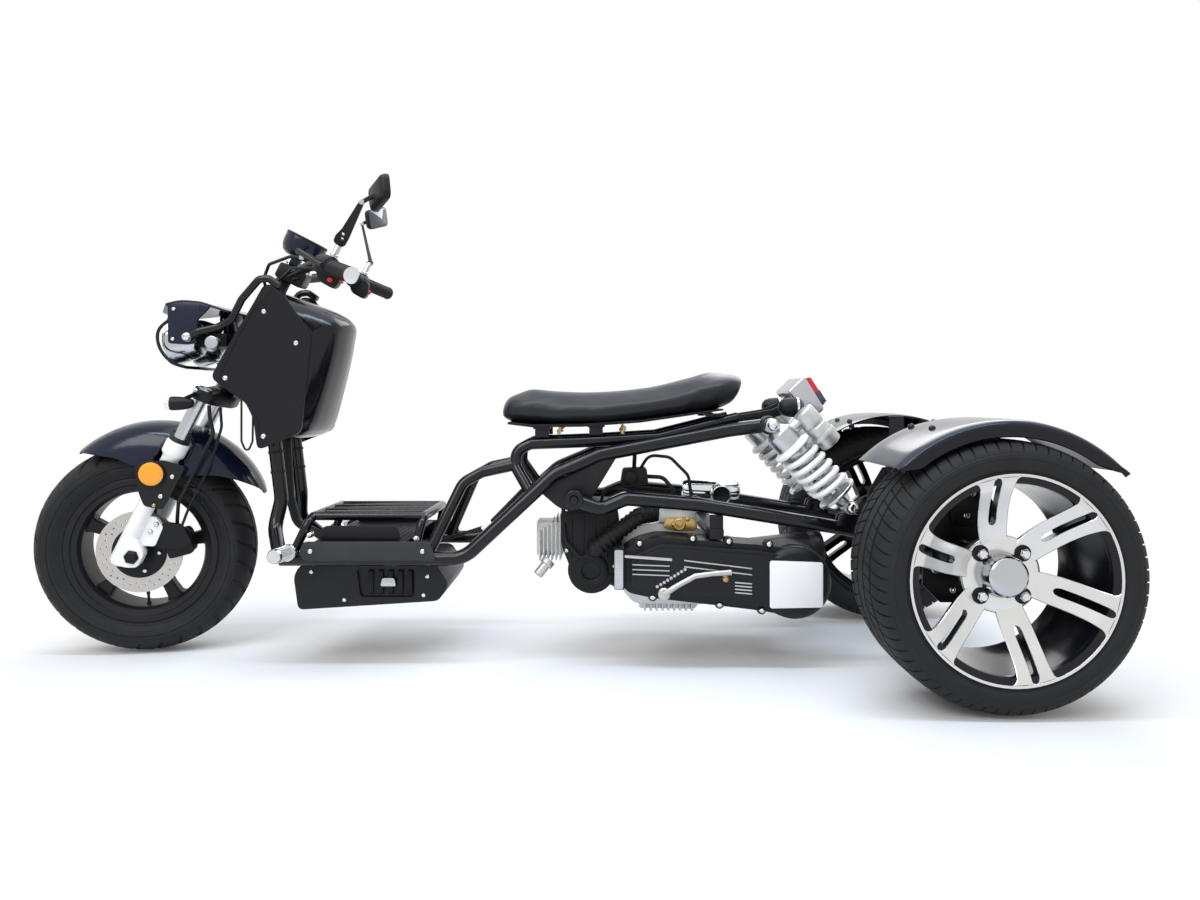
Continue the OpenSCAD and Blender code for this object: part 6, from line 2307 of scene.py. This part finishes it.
@dataclass
class Fork:
    """The steered fork: yoke, legs, fender, reflector plates, caliper, hose and signals."""

    half: float = 85.0
    lead: float = 25.0
    yoke: float = 368.0
    yoke_thick: float = 24.0
    plate_at: float = 103.8
    fender_at: Flat = (-6.0, 58.0)
    fender_r: float = 239.0
    fender_half: float = 88.0
    caliper_turn: float = 139.0

    def build(self) -> None:
        """Make all pieces of the fork."""
        self._yoke()
        self._legs()
        self._fender()
        self._plates()
        self._caliper()
        self._signals()

    def _yoke(self) -> None:
        """Make the lower yoke with its leg clamps and the stem."""
        lead, half, low = self.lead, self.half, self.yoke
        side = [(-30, 26), (lead - 24, half + 12), (lead + 8, half + 24), (lead + 24, half), (lead + 10, 40)]
        plan = side + [(x, -y) for x, y in reversed(side)]
        yoke = Piece("yoke_plate", STEER).slab(eased(plan, 14), low, low + self.yoke_thick)
        bores = Piece("blade", STEER)
        for hand in (1, -1):
            bores.lathe([
                (0, low - 6), (15.2, low - 6), (15.2, low + 40), (0, low + 40)
            ], (lead, half * hand, 0), (0, 0, 1), 36)
        yoke.cut(bores)
        yoke.lathe([(0, low + 1), (16, low + 1), (16, 679.8), (0, 679.8)], axis=(0, 0, 1), steps=36)
        yoke.done(SATIN, Body.STEERING, ("fork_yoke",), bevel=1.6)
        bolts = Screws("yoke_bolts", Body.STEERING)
        for hand in (1, -1):
            for w in (374, 386):
                bolts.add((lead + 14, (half + 16) * hand, w), (0.8, 0.6 * hand, 0), 9, STEER)
        bolts.build()

    def _legs(self) -> None:
        """Make the white sliders with their dropouts, the caliper bracket, the bright tubes and the axle."""
        lead, half = self.lead, self.half
        legs = Piece("fork_sliders", STEER)
        tubes = Piece("fork_tubes", STEER)
        seals = Piece("fork_seals", STEER)
        for hand in (1, -1):
            at = (lead, half * hand, 0)
            legs.lathe([
                (0, -34), (10, -34), (15, -31), (18.3, -26), (18.3, 180), (18.3, 228), (20, 232), (24, 236),
                (24.8, 242), (24.8, 262), (22.5, 266), (0, 266)
            ], at, (0, 0, 1), 40)
            tubes.lathe([(0, 266), (15, 266), (15, 395), (13, 396.8), (0, 396.8)], at, (0, 0, 1), 36)
            seals.lathe([(15.1, 264), (21, 264), (21, 270), (18, 274), (15.1, 275)], at, (0, 0, 1), 36, True)
            drop = [(-20, -16), (-20, 16), (8, 40), (lead, 40), (lead, -30), (0, -26)]
            low, high = sorted(((half - 9) * hand, (half + 18.6) * hand))
            legs.plate(eased(drop, 7), low, high)
        legs.plate(eased([(8, 60), (lead - 6, 88), (-4, 96), (-27, 82), (-30, 36), (8, 20)], 6), half - 9, half + 3)
        legs.done(WHITE, Body.STEERING, ("fork_legs",), bevel=1.4, steps=3)
        arm = Piece("caliper_bracket", STEER).plate(
            eased([(-10, 70), (-26, 93), (-58, 103.6), (-95.6, 76), (-81.6, 50), (-22, 31)], 9), half - 8.6, half
        )
        arm.done(DARK, Body.STEERING, bevel=1.4)
        tubes.done(SILVER, Body.STEERING)
        seals.done(RUBBER, Body.STEERING)
        axle = Piece("wheel_axle", STEER).lathe([(0, -113), (7.8, -113), (7.8, 113), (0, 113)], steps=24)
        for hand in (1, -1):
            axle.lathe([
                (0, 0), (16, 0), (16, 2), (13.4, 2.2), (13.4, 8), (12, 9.6), (0, 9.6)
            ], (0, (half + 19) * hand, 0), (0, hand, 0), 6)
        axle.done(DARK, Body.STEERING, ("front_axle",), bevel=0.6)

    def _arch(self, share: float) -> Flat:
        """Give the fender's half section.

        Args:
            share: 0 at the crown, 1 at the skirt's edge.

        Returns:
            The half width and the drop below the crown.
        """
        marks = [(0, 0), (0.34, 3), (0.59, 11), (0.77, 26), (0.9, 48), (0.975, 75), (1, 96)]
        spot = share * (len(marks) - 1)
        k = min(int(spot), len(marks) - 2)
        (a, b), (c, d) = marks[k], marks[k + 1]
        return (a + (c - a) * (spot - k)) * self.fender_half, b + (d - b) * (spot - k)

    def _depth(self, turn: float) -> float:
        """Give how far down the section the trimmed edge lies at an angle.

        Args:
            turn: The angle about the fender's middle, in radians.

        Returns:
            The share of the section that is kept.
        """
        edge = [
            (236, 136), (222, 139), (176, 157), (128, 174), (82, 177), (0, 195), (-76, 231), (-123, 239), (-161, 236),
            (-182, 221), (-240, 221)
        ]
        u, w = self.fender_at
        share = 1.0
        while share > 0.02:
            _, drop = self._arch(share)
            x, z = u + (self.fender_r - drop) * math.cos(turn), w + (self.fender_r - drop) * math.sin(turn)
            a, b = next(((p, q) for p, q in zip(edge, edge[1:]) if p[0] >= x >= q[0]), (edge[0], edge[1]))
            if z >= a[1] + (b[1] - a[1]) * (a[0] - x) / (a[0] - b[0]):
                return share
            share -= 0.01
        return share

    def _fender(self) -> None:
        """Make the wide front fender with rolled openings for the legs."""
        u, w = self.fender_at
        turns = [math.radians(21.5 + 114.3 * k / 60) for k in range(61)]
        depths = [self._depth(t) for t in turns]
        for _ in range(2):
            depths = [sum(depths[max(0, k - 1):k + 2]) / len(depths[max(0, k - 1):k + 2]) for k in range(len(depths))]
        skins = []
        for inset in (0.0, 3.0):
            rows = []
            for turn, depth in zip(turns, depths):
                row = []
                for k in range(-14, 15):
                    y, drop = self._arch(abs(k) / 14 * depth)
                    steep = min(1.0, drop / 60)
                    r = self.fender_r - drop - inset * (1 - 0.8 * steep)
                    across = math.copysign(max(0.0, y - inset * steep), k)
                    row.append((u + r * math.cos(turn), across, w + r * math.sin(turn)))
                rows.append(row)
            skins.append(rows)
        shell = Piece("front_fender_shell", STEER).sheet(*skins)
        blade = Piece("blade", STEER)
        for hand in (1, -1):
            blade.lathe([(0, 120), (31, 120), (31, 360), (0, 360)], (self.lead, self.half * hand, 0), (0, 0, 1), 48)
        shell.cut(blade)
        for hand in (1, -1):
            shell.tube([(62, 84 * hand, 191), (62, 103.4 * hand, 191)], 12, 0, 16)
        # The fender is black; its navy tint is a painted sky reflection
        shell.done(SKY_SHEEN_BLACK, Body.STEERING, ("front_fender",), sharp=42.0)
        rims = Piece("fender_rims", STEER)
        path = []
        for k in range(25):
            turn = math.radians(182 + 176 * k / 24)
            x, y = self.lead + 31 * math.cos(turn), min(87.6, self.half + 31 * math.sin(turn))
            share = next(s / 200 for s in range(201) if self._arch(s / 200)[0] >= y - 1e-3 or s == 200)
            r = self.fender_r - self._arch(share)[1]
            path.append((x, y, w + math.sqrt(max(1.0, r * r - (x - u) ** 2))))
        # The rolled rims carry the same painted sky reflection
        rims.tube(path, 6, 0, 12).mirror().done(SKY_SHEEN_BLACK, Body.STEERING)

    def _plates(self) -> None:
        """Make the reflector plates, the amber discs and their rims."""
        at = self.plate_at
        plates = Piece("reflector_stays", STEER).plate(
            eased([(80, 185), (34, 220), (-16, 228), (-15, 123), (24, 113), (46, 134)], 8), at, at + 4
        )
        plates.mirror().done(SATIN, Body.STEERING, ("reflector_plates",), bevel=0.8)
        discs, rims = Piece("reflector_discs", STEER), Piece("reflector_rims", STEER)
        discs.lathe([(0, 4.4), (26, 4.4), (26, 9), (24, 10.4), (16, 11.6), (0, 12)], (40, at, 184), steps=44)
        rims.lathe([(25.6, 4.3), (29, 4.3), (29, 9.6), (27.6, 11), (25.6, 10.4)], (40, at, 184), steps=44, ring=True)
        discs.mirror().done(AMBER, Body.STEERING, ("reflector_lenses",))
        rims.mirror().done(DARK, Body.STEERING, bevel=0.4)
        bolts = Screws("stay_bolts", Body.STEERING)
        brass = Screws("stay_pins", Body.STEERING, BRASS)
        for x, z in ((-1, 197), (2, 148)):
            bolts.pair((x, at + 4, z), 12, STEER)
        brass.pair((6, at + 4, 124), 9, STEER)
        for x, z in ((-8, 62), (-12, 82)):
            bolts.add((x, self.half + 3, z), (0, 1, 0), 12, STEER)
        bolts.build()
        brass.build()

    def _caliper(self) -> None:
        """Make the brake caliper over the disc, its hoses and their clip."""
        place = STEER @ Matrix.Rotation(math.radians(-self.caliper_turn), 4, "Y")
        block = Piece("caliper_body", place)
        block.plate(eased([(62, -30), (112, -30), (118, -20), (118, 20), (112, 30), (62, 30)], 8), 62.4, 75.6)
        block.plate(eased([(64, -28), (112, -28), (118, -18), (118, 18), (112, 28), (64, 28)], 8), 39.2, 46.8)
        block.plate(eased([(98, -24), (118, -18), (118, 18), (98, 24)], 4), 45, 64)
        for z in (-13, 13):
            block.lathe([(0, 74), (11.5, 74), (11.5, 76.4), (9, 77.4), (0, 77.4)], (82, 0, z), steps=28)
        block.done(DARK, Body.STEERING, ("brake_caliper",), bevel=1.4)
        hose = Piece("brake_line", STEER)
        hose.tube([
            (-49.8, 68, 87.6), (-42, 70, 106), (-36, 105.8, 150), (-36, 105.8, 318), (-12, 100, 346), (2, 91, 366)
        ], 8, 18, 14)
        hose.tube([(-60, 82, 96), (-58, 97, 150), (-58, 99, 250), (-42, 92, 336), (-16, 66, 367)], 6, 24, 12)
        hose.done(RUBBER, Body.STEERING, ("brake_hose",))
        clip = Piece("hose_clip", STEER).block((-64, 87, 186), (-28, 101, 190)).block(
            (-64, 100, 184), (-50, 104, 192)
        )
        clip.done(SATIN, Body.STEERING, bevel=0.8)
        union = Screws("brake_unions", Body.STEERING, BRASS)
        union.add((-49.8, 76, 84), (0, 1, 0), 15, STEER)
        union.build()

    def _signals(self) -> None:
        """Make the front turn signals: teardrop shells with clear tips."""
        shells, tips = Piece("front_signal_shells", STEER), Piece("front_signal_tips", STEER)
        lean = math.radians(RAKE)
        at, axis = (self.lead - 6, 148, self.yoke), (math.cos(lean), 0, -math.sin(lean))
        shells.lathe([(0, 0), (5, 0), (9, 3), (12.5, 14), (14.2, 28), (14.8, 40), (14.2, 46), (0, 46)], at, axis, 32)
        shells.tube([(33.5, 109.8, 380), (37, 150, 371)], 9, 0, 16)
        tips.lathe([(0, 45), (14, 45), (13.4, 50), (10, 55), (5, 57.6), (0, 58)], at, axis, 32)
        shells.mirror().done(DARK, Body.STEERING, ("front_signals",))
        tips.mirror().done(CLEAR, Body.STEERING)


@dataclass
class Bars:
    """The handlebar with its grips, switch pods, levers, mirrors and dial."""

    level: float = 701.0
    back: float = -24.0
    grip_in: Point = (-84.0, 196.0, 752.0)
    grip_out: Point = (-178.0, 350.0, 760.0)

    def build(self) -> None:
        """Make all pieces on the bar."""
        self._bar()
        self._grips()
        self._pods()
        self._mirrors()
        self._dial()

    def _on(self, share: float) -> Vector:
        """Give a point along the left grip's middle line."""
        return Vector(self.grip_in).lerp(Vector(self.grip_out), share)

    def _along(self) -> Point:
        """Give the left grip's direction."""
        return tuple((Vector(self.grip_out) - Vector(self.grip_in)).normalized())

    def _bar(self) -> None:
        """Make the bent bar, its clamp and the control cables."""
        side = [(self.back, 74, self.level), self.grip_in, self.grip_out]
        bar = Piece("bent_bar", STEER).tube(mirrored(side[::-1]) + side, 22, 40, 24)
        bar.done(SATIN, Body.STEERING, ("handlebar",))
        clamp = Piece("bar_clamp", STEER).plate(
            eased([(-46, 680.3), (18, 680.3), (18, 716.3), (-46, 716.3)], 8), -34, 34
        )
        clamp.done(SATIN, Body.STEERING, bevel=1.6)
        bolts = Screws("clamp_bolts", Body.STEERING)
        for u in (-38, 10):
            for y in (-22, 22):
                bolts.add((u, y, 716.3), (0, 0, 1), 12, STEER)
        bolts.build()
        cables = Piece("control_cables", STEER)
        cables.tube([
            tuple(self._on(0.16) + Vector((20, 0, 2))), (-24, 170, 736), (22, 100, 700), (30, 50, 664), (22, 20, 644)
        ], 7, 40, 12)
        right = mirrored([tuple(self._on(0.16) + Vector((20, 0, 2)))])[0]
        cables.tube([right, (-20, -170, 732), (26, -100, 696), (32, -50, 660), (22, -20, 640)], 7, 40, 12)
        cables.tube([
            tuple(self._on(0.12) + Vector((8, 0, -14))), (-30, 130, 716), (-8, 60, 690), (16, 22, 650)
        ], 6, 30, 12)
        cables.done(RUBBER, Body.STEERING)
        nut = Piece("cable_nuts", STEER)
        nut.tube([(-60, 203, 748.6), (-50, 194, 745.2)], 12, 0, 6)
        nut.mirror().done(SILVER, Body.STEERING)

    def _grips(self) -> None:
        """Make the ringed grips and their bright end caps."""
        along, start = self._along(), tuple(self._on(0.43))
        length = (self._on(1.02) - self._on(0.43)).length
        profile = [(11.4, 0), (17, 0), (17, 4), (14.5, 5)]
        count = 14
        for k in range(count):
            h = 7 + k * (length - 14) / count
            profile += [(14.5, h), (16, h + 1.4), (16, h + 3.6), (14.5, h + 5)]
        profile += [(16.6, length - 4), (16.6, length), (11.4, length)]
        grips = Piece("ringed_grips", STEER).lathe(profile, start, along, 32, True)
        grips.mirror().done(RUBBER, Body.STEERING, ("grips",), sharp=50.0)
        caps = Piece("grip_caps", STEER).lathe([
            (0, length - 4), (11, length - 4), (16.4, length - 1), (16.4, length + 0.2), (12, length + 1.2),
            (0, length + 1.4)
        ], start, along, 32)
        caps.mirror().done(CHROME, Body.STEERING)

    def _pods(self) -> None:
        """Make the switch pods, their buttons and the levers."""
        along, start = self._along(), tuple(self._on(0.14))
        length = (self._on(0.42) - self._on(0.14)).length
        pods = Piece("switch_shells", STEER)
        pods.lathe([
            (11.4, 0), (18, 0), (21, 3), (22, 8), (22, 22), (21, 23), (21, 24.4), (22, 25.4), (22, length - 6),
            (19, length), (11.4, length)
        ], start, along, 40, True)
        lever = [
            self._on(0.2) + Vector((18, 5, 0)), self._on(0.3) + Vector((62, 6, 0)),
            self._on(0.6) + Vector((58, 3, -4)), self._on(0.88) + Vector((52, 0, -8)),
            self._on(0.93) + Vector((51, 0, -8))
        ]
        pods.mirror().done(DARK, Body.STEERING, ("switch_pods",), bevel=0.6)
        levers = Piece("hand_levers", STEER).tube([tuple(p) for p in lever], [11, 12, 9, 8.4, 10], 0, 16)
        levers.mirror().done(DARK, Body.STEERING)
        boxes, buttons = Piece("switch_boxes", STEER), Piece("switch_buttons", STEER)
        at = self._on(0.28)
        outline = [
            (at.x + 14, at.z + 10), (at.x - 30, at.z + 8), (at.x - 40, at.z - 18), (at.x - 36, at.z - 36),
            (at.x - 2, at.z - 34), (at.x + 16, at.z - 12)
        ]
        boxes.plate(eased(outline, 9), at.y - 22, at.y + 20)
        for u, w in ((-22, -22), (-18, -3)):
            buttons.lathe([
                (0, -4), (5.4, -4), (5.4, 3), (4.4, 4.6), (0, 5)
            ], (at.x + u, at.y + 20, at.z + w), (0, 1, 0), 18)
            buttons.lathe(
                [(0, -4), (5.4, -4), (5.4, 3), (4.4, 4.6), (0, 5)], (at.x - 38.4, at.y + 0.3 * w, at.z - 14),
                (-0.93, 0, 0.36), 18
            )
        boxes.mirror().done(DARK, Body.STEERING, bevel=2.4, steps=3)
        buttons.mirror().done(RED, Body.STEERING)

    def _mirrors(self) -> None:
        """Make both mirrors: bright post, drilled arm or thin stalk, shell and glass."""
        foot = self._on(0.34) + Vector((0, 0, 22.9))
        stalks, shells, glass, posts = (
            Piece(f"mirror_{part}", STEER) for part in ("stalks", "shells", "glass", "posts")
        )
        for hand, head in ((1, Vector((-149, 317, 927))), (-1, Vector((-68, -313, 922)))):
            base = Vector((foot.x, foot.y * hand, foot.z))
            posts.lathe([(0, 0), (9, 0), (9, 4), (6.5, 6), (6.5, 30), (5, 32), (0, 32)], tuple(base), (0, 0, 1), 24)
            elbow, tip = base + Vector((0, 8 * hand, 34)), head + Vector((22, -12 * hand, -30))
            if hand > 0:
                self._drilled_arm(elbow, tip)
            else:
                stalks.tube([tuple(elbow), tuple(elbow.lerp(tip, 0.3)), tuple(tip)], [10, 8, 6], 0, 16)
            stalks.tube([tuple(base + Vector((0, 0, 28))), tuple(elbow)], 15, 0, 20)
            stalks.tube([tuple(tip), tuple(head)], 9, 0, 16)
            posts.lathe([(0, -8), (5.5, -8), (5.5, 8), (0, 8)], tuple(tip), (0, 1, 0), 16)
            turn = Matrix.Translation(head) @ Matrix.Rotation(math.radians(RAKE), 4, "Y")
            for angle, axis in ((24, "Z"), (14, "X")):
                turn = turn @ Matrix.Rotation(math.radians(angle * hand), 4, axis)
            frame_edge = eased([(-47, -25), (47, -25), (47, 25), (-47, 25)], 14, 5)
            for piece, layers in (
                (shells, ((9, 0.72), (5, 0.92), (-2, 1.0), (-8.6, 1.0))), (glass, ((-8.7, 0.93), (-9, 0.92)))
            ):
                piece.skin([[tuple(turn @ Vector((x, a * s, b * s))) for a, b in frame_edge] for x, s in layers])
        stalks.done(SATIN, Body.STEERING)
        posts.done(SILVER, Body.STEERING, bevel=0.5)
        shells.done(DARK, Body.STEERING, ("mirrors",), bevel=0.8)
        glass.done(MIRROR, Body.STEERING)

    def _drilled_arm(self, foot: Vector, tip: Vector) -> None:
        """Make the flat mirror arm: wide and drilled at its foot, narrow at its tip.

        Args:
            foot: Its lower end.
            tip: Its upper end.
        """
        along = (tip - foot).normalized()
        across = along.cross(Vector((0, 1, 0))).normalized()
        place = STEER @ Matrix.Translation(foot) @ Matrix((along, across.cross(along), across)).transposed().to_4x4()
        reach = (tip - foot).length
        outline = [
            (-9, -12), (-12, 2), (-6, 12), (16, 12), (reach, 5), (reach + 5, 0), (reach, -5), (26, -9), (6, -14)
        ]
        arm = Piece("mirror_arm", place).plate(eased(outline, 5), -3, 3)
        holes = Piece("blade", place)
        for x, z in ((-3, 6), (7, 1), (17, -2)):
            holes.lathe([(0, -8), (3.4, -8), (3.4, 8), (0, 8)], (x, 0, z), (0, 1, 0), 20)
        arm.cut(holes).done(SATIN, Body.STEERING, bevel=0.6)

    def _dial(self) -> None:
        """Make the drum dial with its rim, face and foot."""
        low = self.level + 37
        drum = Piece("dial_drum", STEER)
        drum.lathe([
            (0, 0), (30, 0), (40, 6), (46, 18), (47.8, 32), (47.8, 44), (46, 46), (0, 46)
        ], (-6, 0, low), (0, 0, 1), 56)
        drum.block((-14, -12, 716.7), (6, 12, low + 4))
        # The drum is black; its navy tint is a painted sky reflection
        drum.done(SKY_SHEEN_BLACK, Body.STEERING, ("instrument",), bevel=0.6)
        rim = Piece("dial_rim", STEER).lathe([
            (43, 44), (47.8, 44), (47.8, 48), (46, 50), (43.4, 49)
        ], (-6, 0, low), (0, 0, 1), 56, True)
        rim.done(DARK, Body.STEERING)
        face = Piece("dial_face", STEER).lathe([
            (0, 46.4), (43, 46.4), (43, 47), (20, 48), (0, 48.2)
        ], (-6, 0, low), (0, 0, 1), 48)
        face.done(SMOKE, Body.STEERING)


PLAIN_FINISH: dict[Slot, Finish] = {
    Slot.GLOSS: GLOSS, Slot.SATIN: SATIN, Slot.LEATHER: HIDE, Slot.TYRE: TYRE, Slot.RUBBER: RUBBER,
    Slot.ALLOY: CASTING,
    Slot.CHROME: CHROME, Slot.WHITE: WHITE, Slot.RED: RED, Slot.SMOKE: SMOKE, Slot.CLEAR: CLEAR, Slot.AMBER: AMBER,
}


def dress_nodes() -> None:
    """Give every CAD node that still shows the finish of its slot."""
    slots = {part["node"]: part["material_slot"] for part in frame["record"]["subparts"]}
    for name, obj in frame["nodes"].items():
        finish = PLAIN_FINISH[Slot(slots[name])]
        obj.data.materials.clear()
        obj.data.materials.append(finish.material())


def main() -> None:
    """Build the studio and the trike."""
    logging.basicConfig(level=logging.INFO, format="%(message)s")
    Studio().build()
    dress_nodes()
    FrontWheel().build()
    for side in (1, -1):
        RearWheel(side).build()
    for group in (FrameTubes(), Deck(), Saddle(), Fairing(), Lamps(), Engine(), RearEnd(), Fork(), Bars()):
        group.build()


if __name__ == "__main__":
    main()
